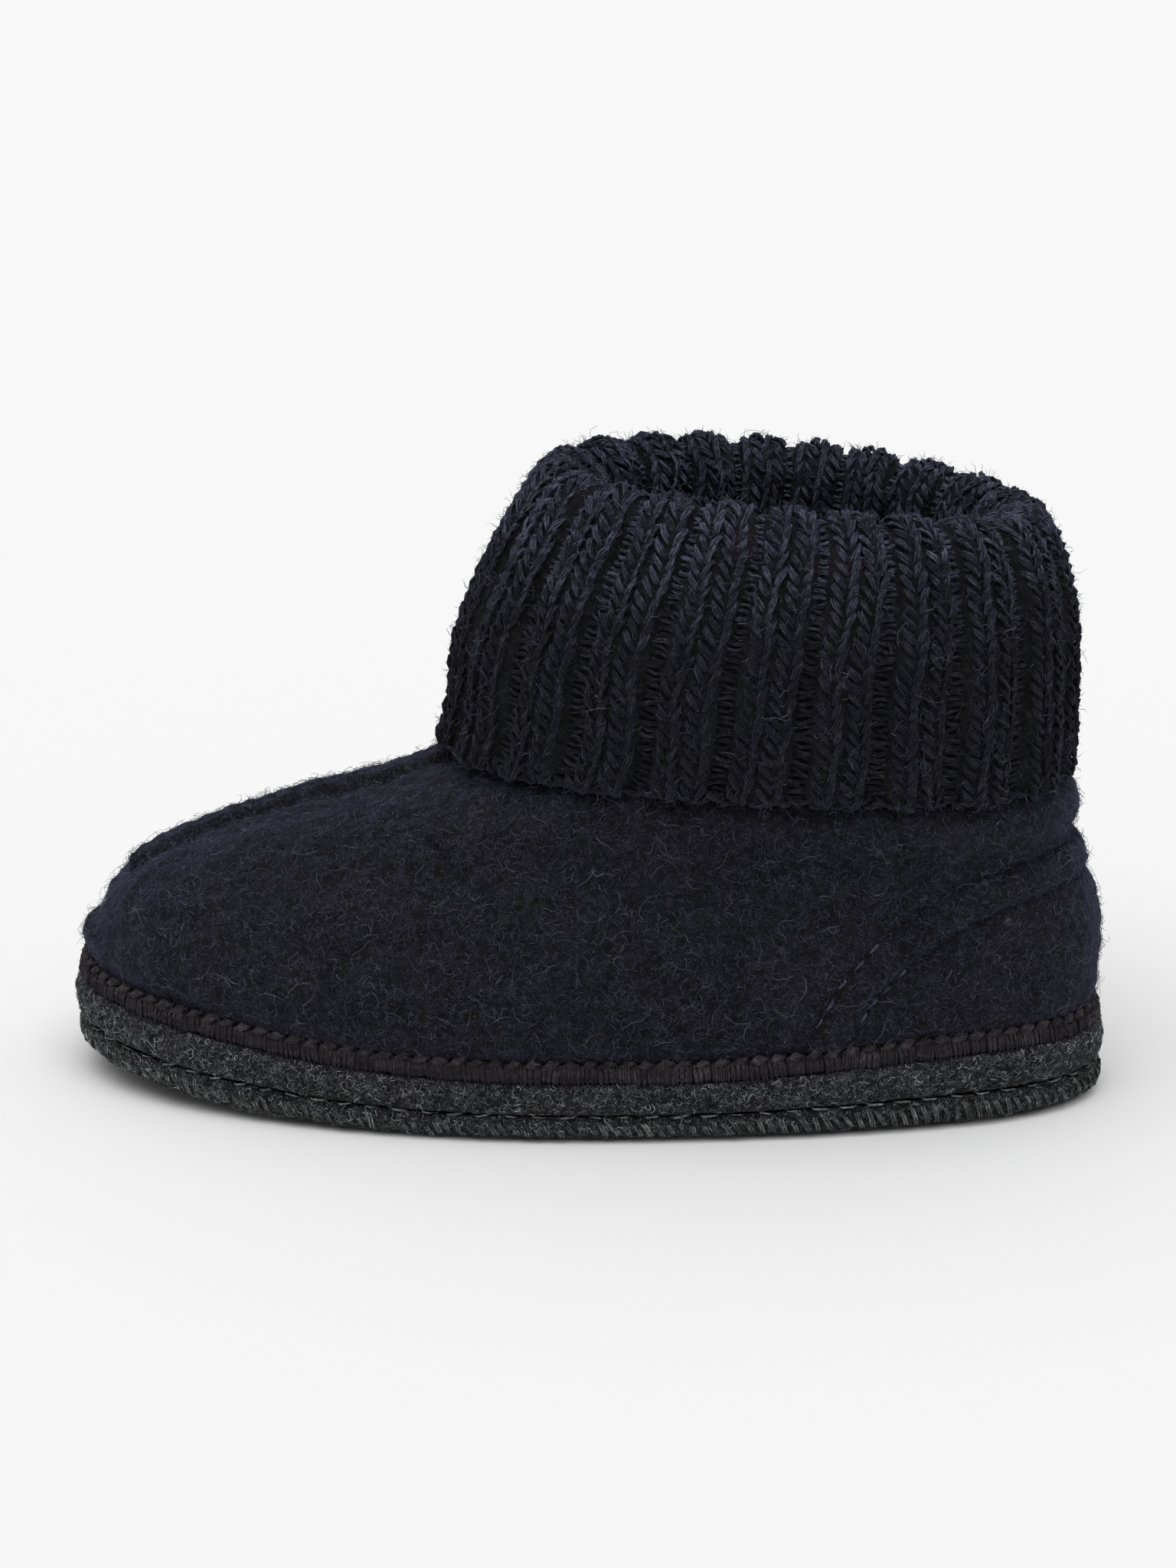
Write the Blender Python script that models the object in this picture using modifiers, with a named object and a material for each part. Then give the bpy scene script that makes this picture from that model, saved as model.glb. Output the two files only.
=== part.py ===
"""A child's wool bootie slipper for the left foot.

A boiled-wool upper stands on a sole of two felt layers. Brown yarn stitches join them all round,
raised seams run along the vamp and round the heel, and a rib-knit cuff is turned down at the ankle.

Sizes are in millimetres and become metres where a point is handed to Blender. In plan, "along" is
measured from the back of the heel to the toe, and "across" is positive towards the outer side.
The model has +X to the toe, +Y to the outer side, +Z up and its origin on the floor, under the
middle of the sole.
"""

import math
from collections import namedtuple

import bmesh
import bpy
from mathutils import Vector

MM = 0.001

# Driving dimensions of the shoe
LENGTH = 185.0
BALL_WIDTH = 76.0
INSTEP_HEIGHT = 60.0
CUFF_HEIGHT = 116.0
SOLE_HEIGHT = 10.8
FELT_WALL = 3.2
KNIT_WALL = 4.4
GAP = 0.3

# The foot's plan
TOE_SWING = 5.0
SWING_START = 0.35
OUTER_BALL_AT = 0.58
INNER_BALL_AT = 0.68
WAIST_AT = 0.40
WAIST_REACH = 0.26
OUTER_WAIST = 0.08

# The floor line: the toe lifts off the floor, and the top of the sole is cupped at both ends
TOE_SPRING = 4.8
SPRING_START = 0.66
HEEL_CUP = 2.4
HEEL_CUP_FROM = 0.40
HEEL_CUP_TO = 0.10
TOE_CUP = 2.2
TOE_CUP_FROM = 0.55
TOE_CUP_TO = 0.88

# The sole's layers and the stitched joint above them
SOLE_OVERHANG = 3.2
OUTSOLE_THICKNESS = 4.8
WELT_HEIGHT = 3.9
WELT_STANDOFF = 0.35
INSOLE_THICKNESS = 3.0
INSOLE_CLEARANCE = 0.45

# Raised seams
SEAM_HALF_WIDTH = 3.2
SEAM_RAISE = 1.3
SEAM_EDGE_RAISE = 0.35
VAMP_SEAM_LOW = 4.0
VAMP_SEAM_HIGH = 7.45

# Rib knit: two knit and two purl columns to a rib, and the turn where the first rib's middle lies
RIBS = 21
COLUMNS_PER_RIB = 4
FIRST_RIB_TURN = 0.1156
RIB_RISE = 1.1

# How finely the pieces are divided
COLUMNS = 56
UPPER_STEPS = 2
STITCH_STEPS = 4
HEEL_SEAM_STEPS = 52
VAMP_SEAM_STEPS = 14

# The step of the numerical slopes
SMALL = 1e-4

# One row for each ring of the upper, from the sole to the collar. back and front are distances
# from the heel's and the toe's ends, as shares of LENGTH. The rises are shares of the height from
# the feather line to INSTEP_HEIGHT, and bow is what the middle of the ring has more than its ends.
# The half widths and the waist's hollow are shares of BALL_WIDTH. spring is how much of the sole's
# lift and cup the ring takes, and blunt is the exponent of each rounded end.
Ring = namedtuple(
    "Ring",
    "name back front back_rise front_rise bow spring heel_half ball_half hollow heel_blunt toe_blunt",
)
UPPER_RINGS = [
    Ring("feather", 0.0173, 0.0173, 0.000, 0.000, 0.000, 1.0, 0.400, 0.465, 0.085, 2.35, 2.30),
    Ring("stitch line", 0.0173, 0.0173, 0.080, 0.080, 0.000, 1.0, 0.400, 0.465, 0.085, 2.35, 2.30),
    Ring("over stitches", 0.0085, 0.0070, 0.172, 0.166, 0.000, 1.0, 0.424, 0.490, 0.085, 2.35, 2.30),
    Ring("bulge", 0.0045, 0.0180, 0.346, 0.260, 0.000, 0.6, 0.440, 0.500, 0.070, 2.35, 2.30),
    Ring("toe box", 0.0110, 0.0500, 0.509, 0.483, 0.000, 0.2, 0.432, 0.480, 0.045, 2.30, 2.25),
    Ring("toe top", 0.0275, 0.1080, 0.652, 0.648, 0.000, 0.0, 0.420, 0.445, 0.020, 2.25, 2.20),
    Ring("vamp", 0.0365, 0.2000, 0.755, 0.780, 0.020, 0.0, 0.425, 0.425, 0.000, 2.20, 2.15),
    Ring("shelf", 0.0310, 0.3120, 0.880, 0.902, 0.050, 0.0, 0.430, 0.425, 0.000, 2.20, 2.10),
    Ring("under hem", 0.0735, 0.3960, 0.948, 0.998, 0.045, 0.0, 0.376, 0.372, 0.000, 2.20, 2.10),
    Ring("collar", 0.0760, 0.4120, 1.092, 1.133, 0.020, 0.0, 0.370, 0.366, 0.000, 2.20, 2.10),
]

# One row for each turn of the cuff's knit strip, along its middle, from the seam on the collar's
# edge, over the fold and down to the loose hem. Its rises are shares of CUFF_HEIGHT.
CUFF_RINGS = [
    Ring("seam", 0.0850, 0.4205, 0.566, 0.584, 0.009, 0.0, 0.350, 0.346, 0.0, 2.20, 2.10),
    Ring("inner low", 0.0960, 0.4400, 0.660, 0.684, 0.012, 0.0, 0.334, 0.334, 0.0, 2.20, 2.10),
    Ring("inner middle", 0.1100, 0.4740, 0.764, 0.800, 0.016, 0.0, 0.310, 0.318, 0.0, 2.20, 2.10),
    Ring("inner top", 0.1160, 0.4970, 0.854, 0.909, 0.013, 0.0, 0.292, 0.309, 0.0, 2.20, 2.10),
    Ring("fold inside", 0.1060, 0.4880, 0.886, 0.944, 0.013, 0.0, 0.306, 0.325, 0.0, 2.20, 2.10),
    Ring("crest", 0.0930, 0.4750, 0.898, 0.958, 0.013, 0.0, 0.328, 0.348, 0.0, 2.20, 2.10),
    Ring("fold outside", 0.0790, 0.4620, 0.886, 0.944, 0.013, 0.0, 0.354, 0.374, 0.0, 2.20, 2.10),
    Ring("shoulder", 0.0680, 0.4490, 0.854, 0.909, 0.013, 0.0, 0.382, 0.399, 0.0, 2.20, 2.10),
    Ring("outer high", 0.0555, 0.4200, 0.778, 0.820, 0.013, 0.0, 0.420, 0.428, 0.0, 2.20, 2.10),
    Ring("outer middle", 0.0510, 0.3930, 0.686, 0.708, 0.013, 0.0, 0.436, 0.438, 0.0, 2.20, 2.10),
    Ring("outer low", 0.0515, 0.3840, 0.584, 0.600, 0.013, 0.0, 0.432, 0.430, 0.0, 2.20, 2.10),
    Ring("hem", 0.0520, 0.3715, 0.504, 0.536, 0.013, 0.0, 0.425, 0.420, 0.0, 2.20, 2.10),
]

# The heel seam's middle line: the angle round from the back of the heel, and the height there.
SeamStop = namedtuple("SeamStop", "name angle height")
HEEL_SEAM = [
    SeamStop("back", 0, 43.9),
    SeamStop("round the heel", 20, 43.8),
    SeamStop("side", 40, 41.6),
    SeamStop("turning down", 50, 38.2),
    SeamStop("slope", 57.5, 32.8),
    SeamStop("steep", 62, 26.5),
    SeamStop("at the stitches", 64.5, 18.2),
]

# The material of each piece
Finish = namedtuple("Finish", "material colour roughness metallic")
FINISHES = {
    "outsole": Finish("grey_felt_lower", (0.042, 0.044, 0.045), 0.95, 0.0),
    "midsole": Finish("grey_felt_upper", (0.045, 0.047, 0.048), 0.95, 0.0),
    "welt": Finish("brown_yarn", (0.030, 0.022, 0.024), 0.85, 0.0),
    "insole": Finish("grey_felt_sock", (0.050, 0.050, 0.052), 0.95, 0.0),
    "upper": Finish("navy_felt", (0.016, 0.016, 0.024), 0.95, 0.0),
    "vamp_seam": Finish("navy_felt_vamp_seam", (0.017, 0.017, 0.025), 0.95, 0.0),
    "heel_seam": Finish("navy_felt_heel_seam", (0.017, 0.017, 0.025), 0.95, 0.0),
    "cuff": Finish("navy_rib_knit", (0.014, 0.014, 0.020), 0.92, 0.0),
}


def smoothstep(low, high, value):
    """0 below low, 1 above high, and a smooth rise between; low may be the larger."""
    share = min(1.0, max(0.0, (value - low) / (high - low)))
    return share * share * (3 - 2 * share)


def signed_power(value, exponent):
    return math.copysign(abs(value) ** exponent, value)


def between_rows(rows, at):
    """The row at a fractional index, on a smooth curve through the table's rows."""
    last = len(rows) - 1
    low = min(int(max(at, 0.0)), last - 1)
    share = at - low
    before, start, end, after = (rows[min(max(low + step, 0), last)] for step in (-1, 0, 1, 2))
    values = [start.name]
    for a, b, c, d in zip(before[1:], start[1:], end[1:], after[1:]):
        slope_in = (c - a) / 2
        slope_out = (d - b) / 2
        cubic = 2 * (b - c) + slope_in + slope_out
        square = 3 * (c - b) - 2 * slope_in - slope_out
        values.append(b + share * (slope_in + share * (square + share * cubic)))
    return type(start)(*values)


def lift(along):
    """How far the bottom of the sole is off the floor."""
    past = max(0.0, along / LENGTH - SPRING_START) / (1 - SPRING_START)
    return TOE_SPRING * past * past


def cup(along):
    """How far the top of the sole rises above its height at the waist, apart from the lift."""
    share = along / LENGTH
    heel = HEEL_CUP * smoothstep(HEEL_CUP_FROM, HEEL_CUP_TO, share)
    return heel + TOE_CUP * smoothstep(TOE_CUP_FROM, TOE_CUP_TO, share)


def axis_across(along):
    """The shoe's middle line swings to the inner side towards the toe."""
    past = max(0.0, along / LENGTH - SWING_START) / (1 - SWING_START)
    return -TOE_SWING * past * past


def ring_point(row, turn, base, tall):
    """A point of a ring: turn 0 is the toe, a half turn the heel, and positive turns are outer."""
    cosine, sine = math.cos(turn), math.sin(turn)
    blunt = row.toe_blunt if cosine > 0 else row.heel_blunt
    place = 0.5 + 0.5 * signed_power(cosine, 2 / blunt)
    back = row.back * LENGTH
    along = back + place * (LENGTH - back - row.front * LENGTH)
    ball_at = OUTER_BALL_AT if sine > 0 else INNER_BALL_AT
    half = row.heel_half + (row.ball_half - row.heel_half) * smoothstep(0.1, ball_at, place)
    waist = max(0.0, 1 - ((place - WAIST_AT) / WAIST_REACH) ** 2) ** 2
    half -= row.hollow * waist * (OUTER_WAIST if sine > 0 else 1.0)
    across = axis_across(along) + half * BALL_WIDTH * signed_power(sine, 2 / blunt)
    share = row.back_rise + (row.front_rise - row.back_rise) * place
    share += row.bow * 4 * place * (1 - place)
    rise = base + (tall - base) * share
    return Vector((along, across, rise + row.spring * (lift(along) + cup(along))))


def upper_point(turn, level):
    return ring_point(between_rows(UPPER_RINGS, level), turn, SOLE_HEIGHT + GAP, INSTEP_HEIGHT)


def cuff_middle(turn, station):
    return ring_point(between_rows(CUFF_RINGS, station), turn, 0.0, CUFF_HEIGHT)


def slopes(surface, turn, station):
    """How a point of the surface moves with its turn and with its station."""
    by_turn = (surface(turn + SMALL, station) - surface(turn - SMALL, station)) / (2 * SMALL)
    by_station = (surface(turn, station + SMALL) - surface(turn, station - SMALL)) / (2 * SMALL)
    return by_turn, by_station


def outward(surface, turn, station):
    """The surface's normal, away from the foot where the stations rise."""
    by_turn, by_station = slopes(surface, turn, station)
    return by_turn.cross(by_station).normalized()


def edge(turn, out):
    """A plan point beside the feather line, moved outwards by so many millimetres."""
    here = upper_point(turn, 0)
    ahead = upper_point(turn + SMALL, 0) - upper_point(turn - SMALL, 0)
    normal = Vector((ahead.y, -ahead.x, 0)).normalized()
    return Vector((here.x, here.y, 0)) + normal * out


def plan_middle():
    """The across value midway between the sole's two sides."""
    sides = [edge(math.tau * step / 720, SOLE_OVERHANG).y for step in range(720)]
    return (max(sides) + min(sides)) / 2


PLAN_MIDDLE = plan_middle()


def to_model(point):
    """From along, across and rise in millimetres to the model's metres."""
    return Vector((point.x - LENGTH / 2, point.y - PLAN_MIDDLE, point.z)) * MM


def even_turns(curve, count, first, last):
    """Turns that cut the curve between two turns into equal lengths, both ends among them."""
    fine = [first + (last - first) * step / 720 for step in range(721)]
    run = [0.0]
    for a, b in zip(fine, fine[1:]):
        run.append(run[-1] + (curve(b) - curve(a)).length)
    turns, step = [], 0
    for index in range(count + 1):
        wanted = run[-1] * index / count
        while step < len(run) - 2 and run[step + 1] < wanted:
            step += 1
        share = (wanted - run[step]) / (run[step + 1] - run[step])
        turns.append(fine[step] + share * (fine[step + 1] - fine[step]))
    return turns


def column_turns():
    """The turns of the columns that the sole and the upper share, closer together at the ends."""
    return [math.tau * index / COLUMNS for index in range(COLUMNS)]


def make_material(name):
    finish = FINISHES[name]
    material = bpy.data.materials.new(finish.material)
    material.use_nodes = True
    shader = material.node_tree.nodes["Principled BSDF"]
    shader.inputs["Base Color"].default_value = (*finish.colour, 1.0)
    shader.inputs["Roughness"].default_value = finish.roughness
    shader.inputs["Metallic"].default_value = finish.metallic
    return material


def add_piece(name, bm, parts):
    """Turns a bmesh in metres into a named, smooth-shaded object with its own material."""
    bmesh.ops.recalc_face_normals(bm, faces=bm.faces)
    mesh = bpy.data.meshes.new(name)
    bm.to_mesh(mesh)
    bm.free()
    mesh.shade_smooth()
    mesh.set_sharp_from_angle(angle=math.radians(40))
    mesh.materials.append(make_material(name))
    piece = bpy.data.objects.new(name, mesh)
    parts.objects.link(piece)
    return piece


def add_ring(bm, points):
    return [bm.verts.new(to_model(point)) for point in points]


def join_rings(bm, low, high, closed=True):
    """Quads between two rows of as many vertices."""
    last = len(low) if closed else len(low) - 1
    for index in range(last):
        after = (index + 1) % len(low)
        bm.faces.new((low[index], low[after], high[after], high[index]))


def ladder_cap(bm, ring):
    """Closes a mirrored ring with strips that run straight across the shoe."""
    half = len(ring) // 2
    bm.faces.new((ring[0], ring[1], ring[-1]))
    for index in range(1, half - 1):
        bm.faces.new((ring[index], ring[index + 1], ring[-index - 1], ring[-index]))
    bm.faces.new((ring[half - 1], ring[half], ring[half + 1]))


def layer(name, profile, parts):
    """A flat layer of the sole, from rows of how far out its edge is and its height there.

    A height is a function of the distance along the shoe.
    """
    bm = bmesh.new()
    turns = column_turns()
    rings = []
    for out, height in profile:
        points = [edge(turn, out) for turn in turns]
        rings.append(add_ring(bm, [Vector((p.x, p.y, height(p.x))) for p in points]))
    for low, high in zip(rings, rings[1:]):
        join_rings(bm, low, high)
    ladder_cap(bm, rings[0])
    ladder_cap(bm, rings[-1])
    return add_piece(name, bm, parts)


def over_floor(share):
    """A height in the sole: 0 is its underside, 1 its top, both with their lift and cup."""
    return lambda along: lift(along) + share * (SOLE_HEIGHT + cup(along))


def above_sole(extra):
    return lambda along: lift(along) + SOLE_HEIGHT + cup(along) + extra


def make_outsole(parts):
    """The lower felt layer: flat underneath, with its lower edge rounded well in."""
    top = OUTSOLE_THICKNESS / SOLE_HEIGHT
    brim = SOLE_OVERHANG
    profile = [
        (brim - 4.6, over_floor(0.0)),
        (brim - 2.4, over_floor(0.10 * top)),
        (brim - 1.1, over_floor(0.36 * top)),
        (brim - 0.6, over_floor(0.66 * top)),
        (brim - 0.8, over_floor(0.88 * top)),
        (brim - 1.9, over_floor(top)),
    ]
    return layer("outsole", profile, parts)


def make_midsole(parts):
    """The upper felt layer, whose edge bulges a little past the lower one."""
    low = (OUTSOLE_THICKNESS + GAP) / SOLE_HEIGHT
    brim = SOLE_OVERHANG
    profile = [
        (brim - 1.7, over_floor(low)),
        (brim - 0.5, over_floor(low + 0.12 * (1 - low))),
        (brim, over_floor(low + 0.45 * (1 - low))),
        (brim - 0.3, over_floor(low + 0.85 * (1 - low))),
        (brim - 1.2, over_floor(1.0)),
    ]
    return layer("midsole", profile, parts)


def make_insole(parts):
    """The felt sock inside the upper's wall."""
    rim = -FELT_WALL - INSOLE_CLEARANCE
    profile = [
        (rim, above_sole(GAP)),
        (rim, above_sole(INSOLE_THICKNESS * 0.75)),
        (rim - 1.0, above_sole(INSOLE_THICKNESS)),
    ]
    return layer("insole", profile, parts)


def make_welt(parts):
    """The band of yarn stitches, in the niche between the sole's edge and the upper's wall."""
    inner, outer = WELT_STANDOFF, SOLE_OVERHANG - 0.6
    section = [
        (inner, GAP),
        (outer - 0.3, GAP),
        (outer, WELT_HEIGHT * 0.45),
        (outer - 0.5, WELT_HEIGHT * 0.85),
        (inner + 0.6, WELT_HEIGHT),
        (inner, WELT_HEIGHT * 0.9),
    ]
    bm = bmesh.new()
    turns = column_turns()
    loops = []
    for turn in turns:
        points = [edge(turn, out) for out, _ in section]
        rises = [above_sole(extra) for _, extra in section]
        loops.append(
            add_ring(bm, [Vector((p.x, p.y, rise(p.x))) for p, rise in zip(points, rises)])
        )
    for index, loop in enumerate(loops):
        join_rings(bm, loop, loops[(index + 1) % len(loops)])
    return add_piece("welt", bm, parts)


def make_upper(parts):
    """One felt wall, lofted through its rings and thickened towards the foot."""
    bm = bmesh.new()
    turns = column_turns()
    last = len(UPPER_RINGS) - 1
    levels = [0.0]
    levels += [1 + step / STITCH_STEPS for step in range(STITCH_STEPS)]
    levels += [2 + step / UPPER_STEPS for step in range((last - 3) * UPPER_STEPS + 1)]
    levels += [float(last)]
    rings = [add_ring(bm, [upper_point(turn, level) for turn in turns]) for level in levels]
    for low, high in zip(rings, rings[1:]):
        join_rings(bm, low, high)
    upper = add_piece("upper", bm, parts)
    wall = upper.modifiers.new("felt wall", "SOLIDIFY")
    wall.thickness = FELT_WALL * MM
    wall.offset = -1.0
    wall.use_quality_normals = True
    return upper


def level_at(turn, height):
    """The upper's level at which a turn reaches a height."""
    low, high = 0.0, float(len(UPPER_RINGS) - 1)
    for _ in range(40):
        middle = (low + high) / 2
        if upper_point(turn, middle).z < height:
            low = middle
        else:
            high = middle
    return low


def seam_band(name, path, parts):
    """A raised band along a path of turns and levels, cut from the upper's own surface."""
    shape = [(-1.0, SEAM_EDGE_RAISE), (-0.6, SEAM_RAISE), (0.6, SEAM_RAISE), (1.0, SEAM_EDGE_RAISE)]
    section = [(share, GAP + rise) for share, rise in shape]
    section += [(share, GAP) for share, _ in reversed(shape)]
    bm = bmesh.new()
    loops = []
    for index, (turn, level) in enumerate(path):
        before, after = path[max(index - 1, 0)], path[min(index + 1, len(path) - 1)]
        by_turn, by_level = slopes(upper_point, turn, level)
        normal = by_turn.cross(by_level).normalized()
        ahead = by_turn * (after[0] - before[0]) + by_level * (after[1] - before[1])
        aside = normal.cross(ahead).normalized()
        square = by_turn.length_squared * by_level.length_squared - by_turn.dot(by_level) ** 2
        turn_step = aside.dot(by_turn) * by_level.length_squared
        turn_step = (turn_step - aside.dot(by_level) * by_turn.dot(by_level)) / square
        level_step = aside.dot(by_level) * by_turn.length_squared
        level_step = (level_step - aside.dot(by_turn) * by_turn.dot(by_level)) / square
        points = []
        for share, rise in section:
            reach = share * SEAM_HALF_WIDTH
            at = (turn + turn_step * reach, level + level_step * reach)
            points.append(upper_point(*at) + outward(upper_point, *at) * rise)
        loops.append(add_ring(bm, points))
    for a, b in zip(loops, loops[1:]):
        join_rings(bm, a, b)
    bm.faces.new(loops[0])
    bm.faces.new(loops[-1])
    return add_piece(name, bm, parts)


def make_vamp_seam(parts):
    """The seam along the middle of the vamp, from above the stitches to the cuff's hem."""
    span = VAMP_SEAM_HIGH - VAMP_SEAM_LOW
    levels = [VAMP_SEAM_LOW + span * step / VAMP_SEAM_STEPS for step in range(VAMP_SEAM_STEPS + 1)]
    return seam_band("vamp_seam", [(0.0, level) for level in levels], parts)


def seam_height(angle):
    """The heel seam's height at an angle from the back, on a smooth curve through its stops."""
    index = 0
    while index < len(HEEL_SEAM) - 2 and angle > HEEL_SEAM[index + 1].angle:
        index += 1
    a, b = HEEL_SEAM[index : index + 2]
    return between_rows(HEEL_SEAM, index + (angle - a.angle) / (b.angle - a.angle)).height


def make_heel_seam(parts):
    """The seam round the heel, from the stitches on one side over the back to the other side."""

    def stop(angle):
        turn = math.pi + math.radians(angle)
        return turn, level_at(turn, seam_height(abs(angle)))

    last = HEEL_SEAM[-1].angle
    angles = even_turns(lambda angle: upper_point(*stop(angle)), HEEL_SEAM_STEPS, -last, last)
    return seam_band("heel_seam", [stop(angle) for angle in angles], parts)


def cuff_column(turn, ribbed):
    """The closed section of the knit strip at one column: its showing face, then its back."""
    front, back = [], []
    for station in range(len(CUFF_RINGS)):
        middle = cuff_middle(turn, station)
        normal = -outward(cuff_middle, turn, station)
        middle = middle + normal * ribbed * RIB_RISE
        front.append(middle + normal * KNIT_WALL / 2)
        back.append(middle - normal * KNIT_WALL / 2)
    return front + back[::-1]


def make_cuff(parts):
    """The turned-down cuff: one corrugated strip with its ribs in the knitting."""
    columns = RIBS * COLUMNS_PER_RIB
    first, last = FIRST_RIB_TURN, FIRST_RIB_TURN + math.tau
    doubled = even_turns(lambda turn: cuff_middle(turn, 9), columns * 2, first, last)
    knit_columns = (0, COLUMNS_PER_RIB - 1)
    around = [
        (turn, 1.0 if index % COLUMNS_PER_RIB in knit_columns else -1.0)
        for index, turn in enumerate(doubled[1::2])
    ]
    bm = bmesh.new()
    loops = [add_ring(bm, cuff_column(turn, ribbed)) for turn, ribbed in around]
    for index, loop in enumerate(loops):
        join_rings(bm, loop, loops[(index + 1) % len(loops)])
    return add_piece("cuff", bm, parts)


def clear_scene():
    for old in list(bpy.data.objects):
        bpy.data.objects.remove(old)


def main():
    clear_scene()
    parts = bpy.data.collections.new("wool_slipper")
    bpy.context.scene.collection.children.link(parts)
    make_outsole(parts)
    make_midsole(parts)
    make_welt(parts)
    make_insole(parts)
    make_upper(parts)
    make_vamp_seam(parts)
    make_heel_seam(parts)
    make_cuff(parts)


main()
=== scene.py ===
# %% [markdown]
# # A child's wool bootie, dressed over its CAD frame
#
# The frame that is loaded first holds the shoe's plain solids, in metres: +X points to the toe, +Y to
# the outer side, +Z up, and the origin lies on the floor under the middle of the sole. Nothing in the
# frame is moved. Each piece below is made in the same place as the solid that it stands for, so the
# shoe keeps its size while it gains felt, knitting, stitches and fuzz.

# %% Load the frame
import math

import bpy
import numpy as np
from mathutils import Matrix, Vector, kdtree, noise


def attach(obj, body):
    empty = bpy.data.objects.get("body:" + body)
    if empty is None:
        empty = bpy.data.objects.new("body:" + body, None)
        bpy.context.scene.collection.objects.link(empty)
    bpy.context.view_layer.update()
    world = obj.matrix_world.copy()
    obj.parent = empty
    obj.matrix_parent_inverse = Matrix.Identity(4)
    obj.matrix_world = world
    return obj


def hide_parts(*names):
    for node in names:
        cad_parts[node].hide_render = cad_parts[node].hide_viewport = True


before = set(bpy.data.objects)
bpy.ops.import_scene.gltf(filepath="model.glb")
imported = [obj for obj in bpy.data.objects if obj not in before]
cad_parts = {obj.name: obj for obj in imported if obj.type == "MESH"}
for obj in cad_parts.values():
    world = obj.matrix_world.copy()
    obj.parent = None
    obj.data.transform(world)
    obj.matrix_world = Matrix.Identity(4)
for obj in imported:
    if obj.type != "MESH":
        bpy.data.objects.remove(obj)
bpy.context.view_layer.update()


def in_mm(places):
    return np.round(np.array(places) * 1000, 1).tolist()


# %% [markdown]
# ## The shoe's own sizes
#
# The solids were lofted through rings: closed outlines of the foot at rising levels. The same tables
# and the same curve through them are repeated here, in millimetres, because every stitch has to lie on
# that surface. A mesh could be sampled instead, but a function gives any point, at any fineness, with
# its exact direction.

# %% Sizes and tables
MM = 0.001
LENGTH = 185.0
BALL_WIDTH = 76.0
INSTEP_HEIGHT = 60.0
CUFF_HEIGHT = 116.0
SOLE_HEIGHT = 10.8
FELT_WALL = 3.2
KNIT_WALL = 4.4
GAP = 0.3
TOE_SWING, SWING_START = 5.0, 0.35
OUTER_BALL_AT, INNER_BALL_AT = 0.58, 0.68
WAIST_AT, WAIST_REACH, OUTER_WAIST = 0.40, 0.26, 0.08
TOE_SPRING, SPRING_START = 4.8, 0.66
HEEL_CUP, HEEL_CUP_FROM, HEEL_CUP_TO = 2.4, 0.40, 0.10
TOE_CUP, TOE_CUP_FROM, TOE_CUP_TO = 2.2, 0.55, 0.88
SOLE_OVERHANG = 3.2
OUTSOLE_THICKNESS = 4.8
INSOLE_THICKNESS = 3.0

# Columns: back, front, back_rise, front_rise, bow, spring, heel_half, ball_half, hollow, heel_blunt,
# toe_blunt. Lengths are shares of LENGTH, widths of BALL_WIDTH and rises of the piece's own height.
UPPER_RINGS = np.array([
    (0.0173, 0.0173, 0.000, 0.000, 0.000, 1.0, 0.400, 0.465, 0.085, 2.35, 2.30),
    (0.0173, 0.0173, 0.080, 0.080, 0.000, 1.0, 0.400, 0.465, 0.085, 2.35, 2.30),
    (0.0085, 0.0070, 0.172, 0.166, 0.000, 1.0, 0.424, 0.490, 0.085, 2.35, 2.30),
    (0.0045, 0.0180, 0.346, 0.260, 0.000, 0.6, 0.440, 0.500, 0.070, 2.35, 2.30),
    (0.0110, 0.0500, 0.509, 0.483, 0.000, 0.2, 0.432, 0.480, 0.045, 2.30, 2.25),
    (0.0275, 0.1080, 0.652, 0.648, 0.000, 0.0, 0.420, 0.445, 0.020, 2.25, 2.20),
    (0.0365, 0.2000, 0.755, 0.780, 0.020, 0.0, 0.425, 0.425, 0.000, 2.20, 2.15),
    (0.0310, 0.3120, 0.880, 0.902, 0.050, 0.0, 0.430, 0.425, 0.000, 2.20, 2.10),
    (0.0735, 0.3960, 0.948, 0.998, 0.045, 0.0, 0.376, 0.372, 0.000, 2.20, 2.10),
    (0.0760, 0.4120, 1.092, 1.133, 0.020, 0.0, 0.370, 0.366, 0.000, 2.20, 2.10),
])
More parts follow.
